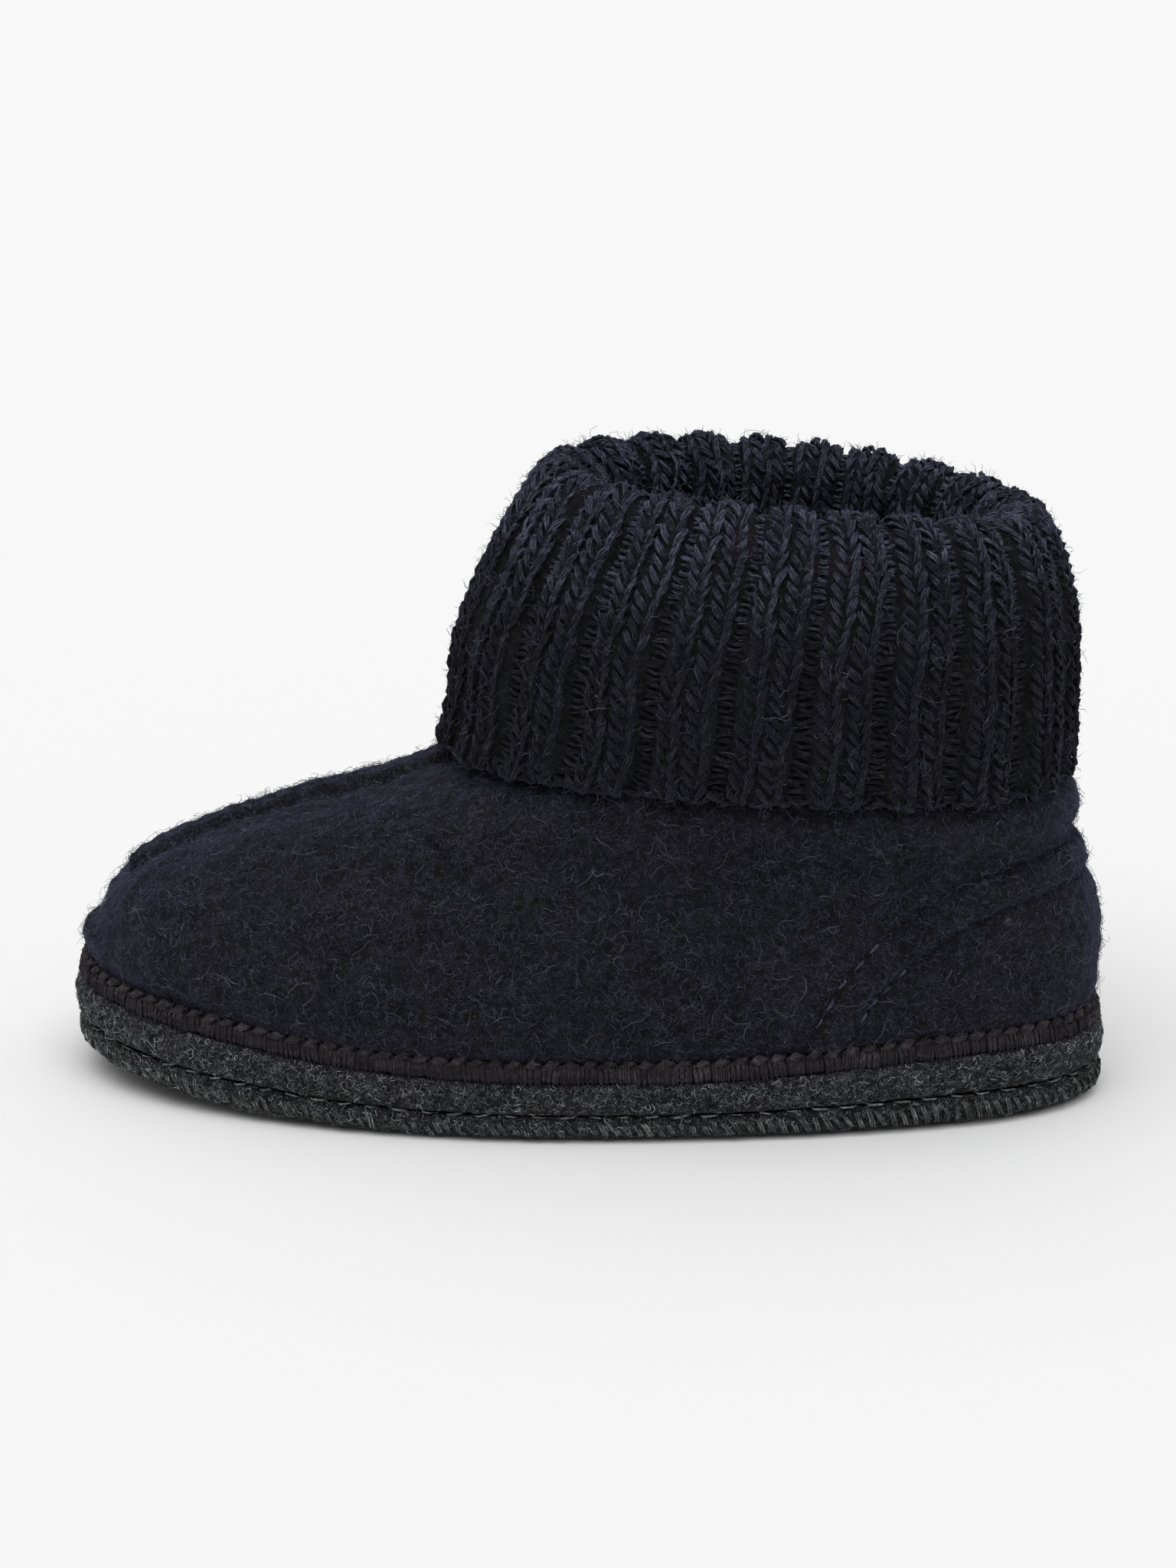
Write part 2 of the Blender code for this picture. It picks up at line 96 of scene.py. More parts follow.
CUFF_RINGS = np.array([
    (0.0850, 0.4205, 0.566, 0.584, 0.009, 0.0, 0.350, 0.346, 0.0, 2.20, 2.10),
    (0.0960, 0.4400, 0.660, 0.684, 0.012, 0.0, 0.334, 0.334, 0.0, 2.20, 2.10),
    (0.1100, 0.4740, 0.764, 0.800, 0.016, 0.0, 0.310, 0.318, 0.0, 2.20, 2.10),
    (0.1160, 0.4970, 0.854, 0.909, 0.013, 0.0, 0.292, 0.309, 0.0, 2.20, 2.10),
    (0.1060, 0.4880, 0.886, 0.944, 0.013, 0.0, 0.306, 0.325, 0.0, 2.20, 2.10),
    (0.0930, 0.4750, 0.898, 0.958, 0.013, 0.0, 0.328, 0.348, 0.0, 2.20, 2.10),
    (0.0790, 0.4620, 0.886, 0.944, 0.013, 0.0, 0.354, 0.374, 0.0, 2.20, 2.10),
    (0.0680, 0.4490, 0.854, 0.909, 0.013, 0.0, 0.382, 0.399, 0.0, 2.20, 2.10),
    (0.0555, 0.4200, 0.778, 0.820, 0.013, 0.0, 0.420, 0.428, 0.0, 2.20, 2.10),
    (0.0510, 0.3930, 0.686, 0.708, 0.013, 0.0, 0.436, 0.438, 0.0, 2.20, 2.10),
    (0.0515, 0.3840, 0.584, 0.600, 0.013, 0.0, 0.432, 0.430, 0.0, 2.20, 2.10),
    (0.0520, 0.3715, 0.504, 0.536, 0.013, 0.0, 0.425, 0.420, 0.0, 2.20, 2.10),
])
# The heel seam's middle line: degrees round from the back of the heel, and the height there. The last
# stop carries it on from the end of its solid down to the welt.
HEEL_SEAM = np.array([
    (0, 43.9), (20, 43.8), (40, 41.6), (50, 38.2), (57.5, 32.8), (62, 26.5), (64.5, 18.2), (65.6, 14.6),
])
print("tables:", len(UPPER_RINGS), "rings of the upper,", len(CUFF_RINGS), "of the cuff")

# %% Points on the rings
def smoothstep(low, high, value):
    share = np.clip((value - low) / (high - low), 0.0, 1.0)
    return share * share * (3 - 2 * share)


def signed_power(value, exponent):
    return np.sign(value) * np.abs(value) ** exponent


def rows_at(table, level):
    """The table's columns at fractional rows, on a smooth curve through the rows."""
    last = len(table) - 1
    low = np.clip(np.floor(level).astype(int), 0, last - 1)
    share = (level - low)[..., None]
    a, b, c, d = (table[np.clip(low + step, 0, last)] for step in (-1, 0, 1, 2))
    slope_in, slope_out = (c - a) / 2, (d - b) / 2
    cubic = 2 * (b - c) + slope_in + slope_out
    square = 3 * (c - b) - 2 * slope_in - slope_out
    return np.moveaxis(b + share * (slope_in + share * (square + share * cubic)), -1, 0)


def lift(along):
    past = np.maximum(0.0, along / LENGTH - SPRING_START) / (1 - SPRING_START)
    return TOE_SPRING * past**2


def cup(along):
    share = along / LENGTH
    heel = HEEL_CUP * smoothstep(HEEL_CUP_FROM, HEEL_CUP_TO, share)
    return heel + TOE_CUP * smoothstep(TOE_CUP_FROM, TOE_CUP_TO, share)


def axis_across(along):
    past = np.maximum(0.0, along / LENGTH - SWING_START) / (1 - SWING_START)
    return -TOE_SWING * past**2


def ring_points(table, turn, level, base, tall):
    """Points as along, across and rise: turn 0 is the toe, a half turn the heel, positive is outer."""
    turn, level = np.broadcast_arrays(np.asarray(turn, float), np.asarray(level, float))
    columns = rows_at(table, level)
    back, front, back_rise, front_rise, bow, spring = columns[:6]
    heel_half, ball_half, hollow, heel_blunt, toe_blunt = columns[6:]
    cosine, sine = np.cos(turn), np.sin(turn)
    blunt = np.where(cosine > 0, toe_blunt, heel_blunt)
    place = 0.5 + 0.5 * signed_power(cosine, 2 / blunt)
    along = LENGTH * (back + place * (1 - back - front))
    ball_at = np.where(sine > 0, OUTER_BALL_AT, INNER_BALL_AT)
    half = heel_half + (ball_half - heel_half) * smoothstep(0.1, ball_at, place)
    waist = np.maximum(0.0, 1 - ((place - WAIST_AT) / WAIST_REACH) ** 2) ** 2
    half = half - hollow * waist * np.where(sine > 0, OUTER_WAIST, 1.0)
    across = axis_across(along) + half * BALL_WIDTH * signed_power(sine, 2 / blunt)
    share = back_rise + (front_rise - back_rise) * place + bow * 4 * place * (1 - place)
    rise = base + (tall - base) * share + spring * (lift(along) + cup(along))
    return np.stack((along, across, rise), -1)


def upper_at(turn, level):
    return ring_points(UPPER_RINGS, turn, level, SOLE_HEIGHT + GAP, INSTEP_HEIGHT)


def cuff_at(turn, station):
    return ring_points(CUFF_RINGS, turn, station, 0.0, CUFF_HEIGHT)


print("back of the heel at level 3, mm:", np.round(upper_at(math.pi, 3.0), 1).tolist())

# %% Ways out, edges and even steps
SLOPE_STEP = 1e-4
FINE_STEPS = 2881
OUTLINE_TURNS = np.linspace(0, math.tau, 721)


def unit(vectors):
    return vectors / np.linalg.norm(vectors, axis=-1, keepdims=True)


def outward(surface, turn, level):
    """The way out of a surface, square to its slopes by turn and by level."""
    by_turn = surface(turn + SLOPE_STEP, level) - surface(turn - SLOPE_STEP, level)
    by_level = surface(turn, level + SLOPE_STEP) - surface(turn, level - SLOPE_STEP)
    return unit(np.cross(by_turn, by_level))


def edge(turn, out):
    """Plan points beside the feather line, moved outwards by so many millimetres, and that way out."""
    turn = np.asarray(turn, float)
    ahead = upper_at(turn + SLOPE_STEP, 0.0) - upper_at(turn - SLOPE_STEP, 0.0)
    sideways = unit(np.stack((ahead[..., 1], -ahead[..., 0], 0 * ahead[..., 0]), -1))
    return upper_at(turn, 0.0) * (1, 1, 0) + sideways * out, sideways


def run_along(points):
    steps = np.linalg.norm(np.diff(points, axis=0), axis=1)
    return np.concatenate(([0.0], np.cumsum(steps)))


def even_turns(curve, count, first=0.0, last=math.tau):
    """Turns that cut a curve into equal lengths, both ends among them."""
    fine = np.linspace(first, last, FINE_STEPS)
    run = run_along(curve(fine))
    return np.interp(np.linspace(0, run[-1], count + 1), run, fine)


def edge_turns(out, count):
    """Turns that cut the edge, so far out, into equal lengths all round."""
    return even_turns(lambda turn: edge(turn, out)[0], count)[:-1]


def edge_length(out):
    return run_along(edge(np.linspace(0, math.tau, FINE_STEPS), out)[0])[-1]


brim = edge(OUTLINE_TURNS, SOLE_OVERHANG)[0]
SHIFT = np.array((LENGTH / 2, (brim[:, 1].max() + brim[:, 1].min()) / 2, 0.0))


def to_model(points):
    """From along, across and rise in millimetres to the frame's metres."""
    return (np.asarray(points, float) - SHIFT) * MM


felt_line = to_model(upper_at(OUTLINE_TURNS, 3.0))
print("bulge of the upper, model mm:", in_mm((felt_line.min(0), felt_line.max(0))))

# %% [markdown]
# ## Making pieces and finishes
#
# Every piece is a closed mesh that sits at the origin with its place in its points. A finish is a
# small node tree: wool shows soft patches, matted grain and curled fibres, and the lines of equal
# value in a noise field curl just as fibres do. Images could carry that too, but the nodes keep their
# detail at any size and need no unwrapping.

# %% Meshes and pieces
def grid_faces(numbers, wrap_rows=False):
    """Quads between neighbouring rows of vertex numbers, whose columns close round."""
    rows = np.concatenate((numbers, numbers[:1])) if wrap_rows else numbers
    low, high = rows[:-1], rows[1:]
    return np.stack((low, np.roll(low, -1, 1), np.roll(high, -1, 1), high), -1).reshape(-1, 4).tolist()


def facing_out(points, faces):
    """The faces, turned round if they enclose a negative volume."""
    points, total = points - points.mean(0), 0.0
    for corners in (3, 4):
        chosen = np.array([face for face in faces if len(face) == corners], int).reshape(-1, corners)
        for step in range(1, corners - 1):
            a, b, c = (points[chosen[:, column]] for column in (0, step, step + 1))
            total += np.einsum("ij,ij->", a, np.cross(b, c))
    return [face[::-1] for face in faces] if total < 0 else faces


def mesh_of(points, faces):
    """A smooth mesh from points in millimetres, with its faces turned outwards."""
    points = to_model(points).reshape(-1, 3)
    mesh = bpy.data.meshes.new("piece")
    mesh.from_pydata(points.tolist(), [], facing_out(points, faces))
    mesh.shade_smooth()
    return mesh


def tube_mesh(rings):
    """A closed mesh from rings of points, the last of which joins the first."""
    return mesh_of(rings, grid_faces(np.arange(rings[..., 0].size).reshape(rings.shape[:2]), wrap_rows=True))


def set_values(mesh, title, values):
    """Keeps one number for each point of a mesh, as a named attribute."""
    layer = mesh.attributes.new(title, "FLOAT", "POINT")
    layer.data.foreach_set("value", np.ascontiguousarray(values, np.float32).ravel())


def show(made):
    bpy.context.scene.collection.objects.link(made)
    return made


def add_piece(name, mesh, finish, slot, *stands_for):
    """Makes a mesh a piece of the shoe, with a finish unless its tree has set one."""
    mesh.name = name
    if finish is not None:
        mesh.materials.clear()
        mesh.materials.append(finish)
    piece = show(bpy.data.objects.new(name, mesh))
    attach(piece, "root")
    if stands_for:
        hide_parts(*stands_for)
    triangles = sum(len(face.vertices) - 2 for face in mesh.polygons)
    print("piece:", name, triangles, "triangles", "for " + ", ".join(stands_for) if stands_for else "")


# %% Node helpers
def socket(sockets, name):
    """The socket of that name that the node uses at its present settings."""
    return next(s for s in sockets if s.name == name and s.enabled and not s.is_unavailable)


def put(tree, kind, inputs=None, **settings):
    """Adds a node, sets it, and gives its inputs a value or a link."""
    made = tree.nodes.new(kind)
    for key, value in settings.items():
        setattr(made, key, value)
    for key, value in (inputs or {}).items():
        target = made.inputs[key] if isinstance(key, int) else socket(made.inputs, key)
        if isinstance(value, bpy.types.NodeSocket):
            tree.links.new(value, target)
        else:
            target.default_value = value
    return made


def math_node(tree, operation, first, second=0.0, clamp=False):
    return put(tree, "ShaderNodeMath", {0: first, 1: second}, operation=operation, use_clamp=clamp).outputs[0]


def times(tree, first, second):
    return math_node(tree, "MULTIPLY", first, second)


def plus(tree, first, second):
    return math_node(tree, "ADD", first, second)


def minus(tree, first, second, clamp=False):
    return math_node(tree, "SUBTRACT", first, second, clamp)


def weighed(tree, first, first_share, second, second_share):
    """Two fields mixed by their shares."""
    return plus(tree, times(tree, first, first_share), times(tree, second, second_share))


def remap(tree, value, low, high, to_low=0.0, to_high=1.0):
    inputs = {"Value": value, "From Min": low, "From Max": high, "To Min": to_low, "To Max": to_high}
    return put(tree, "ShaderNodeMapRange", inputs, interpolation_type="SMOOTHSTEP").outputs[0]


def blend_colour(tree, factor, first, second):
    """From one colour to another, each of them three numbers or a link."""
    inputs = {"Factor": factor}
    for key, colour in (("A", first), ("B", second)):
        inputs[key] = colour if isinstance(colour, bpy.types.NodeSocket) else (*colour, 1.0)
    return socket(put(tree, "ShaderNodeMix", inputs, data_type="RGBA").outputs, "Result")


def noise_field(tree, place, scale, detail, distortion=0.0):
    inputs = {"Vector": place, "Scale": scale, "Detail": detail, "Distortion": distortion}
    return put(tree, "ShaderNodeTexNoise", inputs).outputs[0]


def object_place(tree):
    return put(tree, "ShaderNodeTexCoord").outputs["Object"]


def kept_value(tree, title):
    """A number that the mesh keeps for each point."""
    return put(tree, "ShaderNodeAttribute", attribute_name=title).outputs["Fac"]


def curl_lines(tree, place, layers):
    """1 along curled lines about as wide as a fibre, and 0 between them, in several layers."""
    total = 0.0
    for scale, width, gap in layers:
        field = noise_field(tree, place, scale, 1.0, 1.1)
        away = math_node(tree, "ABSOLUTE", minus(tree, field, 0.5))
        line = remap(tree, away, 0.0, width, 1.0, 0.0)
        mask = remap(tree, noise_field(tree, place, scale * 0.62, 1.0), gap, gap + 0.10)
        total = math_node(tree, "MAXIMUM", total, times(tree, line, mask))
    return total


# %% Finishes of felt, yarn and fibre
# Noise cells to the metre, and what winds along one strand of yarn: its streaks and its twist
TINT_CELLS, PATCH_CELLS, GRAIN_CELLS = 60.0, 130.0, 850.0
YARN_GRAIN_CELLS, FIBRE_PATCH_CELLS = 1300.0, 220.0
STREAK_CELLS, YARN_TWIST = 2.4, 3.5
WARM, COOL = np.array((1.16, 0.95, 0.98)), np.array((0.84, 1.07, 1.02))
# Heights in metres between which the yarn is painted lighter and bluer towards the fold, a painted highlight
# of light from above
FOLD_STARTS, FOLD_TOP = 0.083, 0.109


def new_finish(name, roughness, sheen, sheen_tint):
    """A material whose constant values are set straight on its shader."""
    finish = bpy.data.materials.new(name)
    finish.use_nodes = True
    shader = finish.node_tree.nodes["Principled BSDF"]
    for title, value in (
        ("Roughness", roughness), ("Specular IOR Level", 0.2), ("Sheen Weight", sheen),
        ("Sheen Roughness", 0.4), ("Sheen Tint", (*sheen_tint, 1.0)),
    ):
        shader.inputs[title].default_value = value
    return finish, finish.node_tree, shader


def finish_bump(tree, shader, height, depth, strength):
    bump = put(tree, "ShaderNodeBump", {"Strength": strength, "Distance": depth * MM, "Height": height})
    tree.links.new(bump.outputs[0], shader.inputs["Normal"])


def felt_finish(name, deep, body, fleck, fleck_share, sheen, sheen_tint, layers):
    """Matted wool: warm and cool patches, grain about 1 mm across, paler curled fibres on top, and painted
    shade in creases and stitch grooves where the mesh keeps it.
    """
    finish, tree, shader = new_finish(name, 0.95, sheen, sheen_tint)
    place = object_place(tree)
    # The value kept below is painted shade in creases, stitch grooves and pits: it darkens the felt there and
    # hides its pale fibres.
    pressed_shade = kept_value(tree, "pressed_shade")
    patches = noise_field(tree, place, PATCH_CELLS, 3.0)
    grain = noise_field(tree, place, GRAIN_CELLS, 5.0)
    curls = curl_lines(tree, place, layers)
    tint = remap(tree, noise_field(tree, place, TINT_CELLS, 2.0), 0.42, 0.58)
    tinted = blend_colour(tree, tint, body * WARM, body * COOL)
    mottle = minus(tree, weighed(tree, patches, 0.35, grain, 0.65), times(tree, pressed_shade, 0.2))
    ground = blend_colour(tree, remap(tree, mottle, 0.40, 0.60), deep, tinted)
    bare = minus(tree, 1.0, pressed_shade, True)
    share = times(tree, times(tree, curls, fleck_share), bare)
    tree.links.new(blend_colour(tree, share, ground, fleck), shader.inputs["Base Color"])
    finish_bump(tree, shader, weighed(tree, grain, 0.9, curls, 0.30), 0.6, 0.9)
    return finish


def yarn_finish(name, deep, body, pale, roughness, sheen, sheen_tint, fold=None):
    """Spun yarn: streaks wind along each strand, every stitch has its tone, and the fold may be painted
    lighter as a highlight.
    """
    finish, tree, shader = new_finish(name, roughness, sheen, sheen_tint)
    place = object_place(tree)
    titles = ("run", "round_cosine", "round_sine", "tone")
    run, cosine, sine, tone = (kept_value(tree, title) for title in titles)
    along = plus(tree, times(tree, run, 0.7), times(tree, tone, 60.0))
    straight = put(tree, "ShaderNodeCombineXYZ", {"X": cosine, "Y": sine, "Z": along}).outputs[0]
    winding = {"Vector": straight, "Angle": times(tree, run, YARN_TWIST)}
    wound = put(tree, "ShaderNodeVectorRotate", winding, rotation_type="Z_AXIS").outputs[0]
    streaks = noise_field(tree, wound, STREAK_CELLS, 3.0)
    grain = noise_field(tree, place, YARN_GRAIN_CELLS, 3.0)
    mixed = weighed(tree, streaks, 0.7, grain, 0.3)
    toned = plus(tree, mixed, times(tree, minus(tree, tone, 0.5), 0.06))
    # The fold is painted lighter and bluer towards the top: a painted highlight where light falls from above.
    if fold:
        height = put(tree, "ShaderNodeSeparateXYZ", {"Vector": place}).outputs["Z"]
        painted_light_share = remap(tree, height, FOLD_STARTS, FOLD_TOP)
        toned = plus(tree, toned, times(tree, painted_light_share, 0.03))
        body, pale = (blend_colour(tree, painted_light_share, shade, np.array(shade) * fold) for shade in (body, pale))
    ground = blend_colour(tree, remap(tree, toned, 0.40, 0.52), deep, body)
    colour = blend_colour(tree, remap(tree, toned, 0.53, 0.63), ground, pale)
    tree.links.new(colour, shader.inputs["Base Color"])
    finish_bump(tree, shader, mixed, 0.55, 1.0)
    return finish


def fibre_finish(name, dark, pale, sheen_tint):
    """Single fibres: each has its own tone, and a length of it may lie in a paler patch."""
    finish, tree, shader = new_finish(name, 0.6, 0.2, sheen_tint)
    patch = noise_field(tree, object_place(tree), FIBRE_PATCH_CELLS, 2.0)
    tone = math_node(tree, "POWER", kept_value(tree, "tone"), 2.0)
    share = times(tree, tone, remap(tree, patch, 0.3, 0.7, 0.4, 1.0))
    tree.links.new(blend_colour(tree, share, dark, pale), shader.inputs["Base Color"])
    return finish


# %% The navy finishes
NAVY_SHEEN = (0.42, 0.46, 0.95)
GREY_SHEEN = (0.75, 0.78, 0.80)
BROWN_SHEEN = (0.75, 0.62, 0.75)
# How much lighter, red to blue, the top of the fold is painted: a painted highlight
FOLD_PAINTED_LIGHT = (2.8, 3.05, 4.0)
# Curled fibres drawn by the finish: lines to the metre, half width in the field, and how broken they are
NAVY_CURLS = [(420, 0.012, 0.46), (620, 0.016, 0.47), (880, 0.020, 0.47), (1250, 0.026, 0.48)]
GREY_CURLS = [(520, 0.013, 0.44), (760, 0.018, 0.45), (1050, 0.022, 0.46), (1500, 0.028, 0.47)]
# Each finish goes from its deep colour over its body colour to its palest fibres
navy_felt = felt_finish(
    "navy_boiled_wool", (0.0016, 0.0015, 0.0023), (0.0064, 0.0059, 0.0080), (0.055, 0.052, 0.067),
    0.85, 0.17, NAVY_SHEEN, NAVY_CURLS)
navy_yarn = yarn_finish(
    "navy_knitting_yarn", (0.0020, 0.0019, 0.0024), (0.0060, 0.0057, 0.0066), (0.041, 0.039, 0.043),
    0.85, 0.11, NAVY_SHEEN, FOLD_PAINTED_LIGHT)
purl_yarn = yarn_finish(
    "navy_purl_yarn", (0.0020, 0.0020, 0.0025), (0.0084, 0.0081, 0.0094), (0.050, 0.049, 0.056),
    0.85, 0.10, NAVY_SHEEN, FOLD_PAINTED_LIGHT)
navy_fibre = fibre_finish("navy_wool_fibre", (0.011, 0.011, 0.016), (0.170, 0.170, 0.222), NAVY_SHEEN)
stray_fibre = fibre_finish("navy_stray_fibre", (0.014, 0.014, 0.019), (0.270, 0.268, 0.320), NAVY_SHEEN)
print("finishes so far:", [made.name for made in (navy_felt, navy_yarn, purl_yarn, navy_fibre, stray_fibre)])

# %% [markdown]
# ## Two node trees that do the sewing and the fuzz
#
# Stitches repeat hundreds of times along paths, and fibres thousands of times over surfaces. Copying
# objects in a loop would be slow and clumsy. One tree puts a stitch on every point of a carrier mesh,
# turned by the directions that the point carries, and another scatters fibres over faces. Both end by
# making the instances real, because an exported model has no instances.

# %% Strands and templates
def path_sides(path, reference=(0.0, 0.0, 1.0)):
    """Two ways across a path at each of its points."""
    ahead = unit(np.gradient(path, axis=0))
    side = unit(np.cross(ahead, reference))
    return side, np.cross(side, ahead)


def strand(path, thickness, sides, reference=(0.0, 0.0, 1.0)):
    """A closed strand: rings round the inner points of a path, drawn to a point at both ends."""
    path = np.array(path, float)
    side, rise = path_sides(path, reference)
    angles = math.tau * np.arange(sides) / sides
    ring = np.cos(angles)[:, None, None] * side[1:-1] + np.sin(angles)[:, None, None] * rise[1:-1]
    rings = np.swapaxes(path[1:-1] + ring * np.array(thickness, float)[:, None], 0, 1)
    points = np.concatenate((path[:1], rings.reshape(-1, 3), path[-1:]))
    numbers = 1 + np.arange(rings.shape[0] * sides).reshape(-1, sides)
    end = len(points) - 1
    faces = [[0, numbers[0][(k + 1) % sides], numbers[0][k]] for k in range(sides)]
    faces += grid_faces(numbers)
    faces += [[end, numbers[-1][k], numbers[-1][(k + 1) % sides]] for k in range(sides)]
    shares = run_along(path) / run_along(path)[-1]
    run = np.concatenate(([0.0], np.repeat(shares[1:-1], sides), [1.0]))
    round_angle = np.tile(angles, rings.shape[0])
    rounds = [np.concatenate(([0.0], wave(round_angle), [0.0])) for wave in (np.cos, np.sin)]
    return points, facing_out(points, faces), run, *rounds


def plied(path, thickness, sides, turns, start=0.0):
    """Two strands wound round each other along a path."""
    path = np.array(path, float)
    side, rise = path_sides(path)
    angle = start + math.tau * turns * run_along(path) / run_along(path)[-1]
    apart = np.concatenate(([0.0], thickness, [0.0]))[:, None] * 0.82
    away = apart * (np.cos(angle)[:, None] * side + np.sin(angle)[:, None] * rise)
    return [strand(path + hand * away, thickness, sides) for hand in (-1, 1)]


def template(name, strands):
    """An object that holds one repeat of a stitch, made of strands in millimetres."""
    points, faces, start = [], [], 0
    for part in strands:
        points.append(part[0])
        faces += [[int(number) + start for number in face] for face in part[1]]
        start += len(part[0])
    mesh = bpy.data.meshes.new(name)
    mesh.from_pydata((np.concatenate(points) * MM).tolist(), [], faces)
    mesh.shade_smooth()
    for column, title in enumerate(("run", "round_cosine", "round_sine"), 2):
        set_values(mesh, title, np.concatenate([part[column] for part in strands]))
    return show(bpy.data.objects.new(name, mesh))


# %% What both trees are made of
def new_tree(name, sockets):
    tree = bpy.data.node_groups.new(name, "GeometryNodeTree")
    tree.is_modifier = True
    tree.interface.new_socket("Geometry", in_out="INPUT", socket_type="NodeSocketGeometry")
    for title, kind in sockets + [("Seed", "Int"), ("Finish", "Material")]:
        tree.interface.new_socket(title, in_out="INPUT", socket_type="NodeSocket" + kind)
    tree.interface.new_socket("Geometry", in_out="OUTPUT", socket_type="NodeSocketGeometry")
    return tree, put(tree, "NodeGroupInput").outputs


def random_value(tree, kind, low, high, seed, offset):
    seed = plus(tree, seed, float(offset))
    made = put(tree, "FunctionNodeRandomValue", {"Min": low, "Max": high, "Seed": seed}, data_type=kind)
    return socket(made.outputs, "Value")


def named_value(tree, title, kind="FLOAT_VECTOR"):
    made = put(tree, "GeometryNodeInputNamedAttribute", {"Name": title}, data_type=kind)
    return socket(made.outputs, "Attribute")


def one_of(tree, *objects):
    """The objects as instances to choose from."""
    joined = put(tree, "GeometryNodeJoinGeometry")
    for made in objects:
        info = put(tree, "GeometryNodeObjectInfo", {"Object": made, "As Instance": True})
        tree.links.new(info.outputs["Geometry"], joined.inputs[0])
    return joined.outputs[0]


def swayed(tree, rotation, euler):
    """A rotation with a further turn in its own axes."""
    turned = put(tree, "FunctionNodeEulerToRotation", {"Euler": euler}).outputs[0]
    inputs = {"Rotation": rotation, "Rotate By": turned}
    return put(tree, "FunctionNodeRotateRotation", inputs, rotation_space="LOCAL").outputs[0]


def end_tree(tree, points, shapes, count, rotation, scale, entry):
    """Puts the shapes on the points, notes each one's tone, and makes them real."""
    index = random_value(tree, "INT", 0, count - 1, entry["Seed"], 3)
    placed = put(tree, "GeometryNodeInstanceOnPoints", {
        "Points": points, "Instance": shapes, "Pick Instance": True,
        "Instance Index": index, "Rotation": rotation, "Scale": scale,
    })
    tone = random_value(tree, "FLOAT", 0.0, 1.0, entry["Seed"], 4)
    noted = put(tree, "GeometryNodeStoreNamedAttribute", {
        "Geometry": placed.outputs[0], "Name": "tone", "Value": tone,
    }, data_type="FLOAT", domain="INSTANCE")
    real = put(tree, "GeometryNodeRealizeInstances", {"Geometry": noted.outputs[0]})
    dressed = put(tree, "GeometryNodeSetMaterial", {"Geometry": real.outputs[0], "Material": entry["Finish"]})
    put(tree, "NodeGroupOutput", {"Geometry": dressed.outputs[0]})
    return tree


# %% The sewing tree and the fuzz tree
def sewing_tree():
    tree, entry = new_tree("sewing", [
        ("Stitch A", "Object"), ("Stitch B", "Object"), ("Uneven", "Float"), ("Spread", "Float"),
    ])
    shapes = one_of(tree, entry["Stitch A"], entry["Stitch B"])
    axes = {"Primary Axis": named_value(tree, "out"), "Secondary Axis": named_value(tree, "side")}
    facing = put(tree, "FunctionNodeAxesToRotation", axes, primary_axis="Z", secondary_axis="X").outputs[0]
    least = times(tree, entry["Uneven"], -1.0)
    sway = random_value(tree, "FLOAT_VECTOR", least, entry["Uneven"], entry["Seed"], 1)
    smallest, largest = minus(tree, 1.0, entry["Spread"]), plus(tree, 1.0, entry["Spread"])
    growth = random_value(tree, "FLOAT", smallest, largest, entry["Seed"], 2)
    sizes = {"Vector": named_value(tree, "size"), "Scale": growth}
    scale = put(tree, "ShaderNodeVectorMath", sizes, operation="SCALE").outputs[0]
    return end_tree(tree, entry["Geometry"], shapes, 2, swayed(tree, facing, sway), scale, entry)


def fuzz_tree():
    sockets = [("Fibre " + letter, "Object") for letter in "ABCD"]
    sockets += [(title, "Float") for title in ("Density", "Lean", "Shortest", "Longest")]
    tree, entry = new_tree("fuzz", sockets)
    shapes = one_of(tree, *(entry["Fibre " + letter] for letter in "ABCD"))
    density = times(tree, entry["Density"], named_value(tree, "fuzz", "FLOAT"))
    scattered = put(tree, "GeometryNodeDistributePointsOnFaces", {
        "Mesh": entry["Geometry"], "Density": density, "Seed": entry["Seed"],
    })
    spin = random_value(tree, "FLOAT", 0.0, math.tau, entry["Seed"], 1)
    least = times(tree, entry["Lean"], -1.0)
    lean = random_value(tree, "FLOAT", least, entry["Lean"], entry["Seed"], 2)
    sway = put(tree, "ShaderNodeCombineXYZ", {"Y": lean, "Z": spin}).outputs[0]
    rotation = swayed(tree, scattered.outputs["Rotation"], sway)
    scale = random_value(tree, "FLOAT", entry["Shortest"], entry["Longest"], entry["Seed"], 5)
    return end_tree(tree, scattered.outputs["Points"], shapes, 4, rotation, scale, entry)


SEWING, FUZZ = sewing_tree(), fuzz_tree()
print("trees:", SEWING.name, len(SEWING.nodes), "nodes;", FUZZ.name, len(FUZZ.nodes), "nodes")

# %% Running the trees
def run_tree(tree, carrier_mesh, inputs):
    """Evaluates a tree on a carrier and returns what it made as a plain mesh."""
    carrier = show(bpy.data.objects.new("carrier", carrier_mesh))
    modifier = carrier.modifiers.new(tree.name, "NODES")
    modifier.node_group = tree
    for item in tree.interface.items_tree:
        if item.in_out == "INPUT" and item.name in inputs:
            modifier[item.identifier] = inputs[item.name]
    evaluated = carrier.evaluated_get(bpy.context.evaluated_depsgraph_get())
    made = bpy.data.meshes.new_from_object(evaluated)
    carrier.modifiers.clear()
    for used in [carrier] + [value for value in inputs.values() if isinstance(value, bpy.types.Object)]:
        bpy.data.objects.remove(used)
    return made


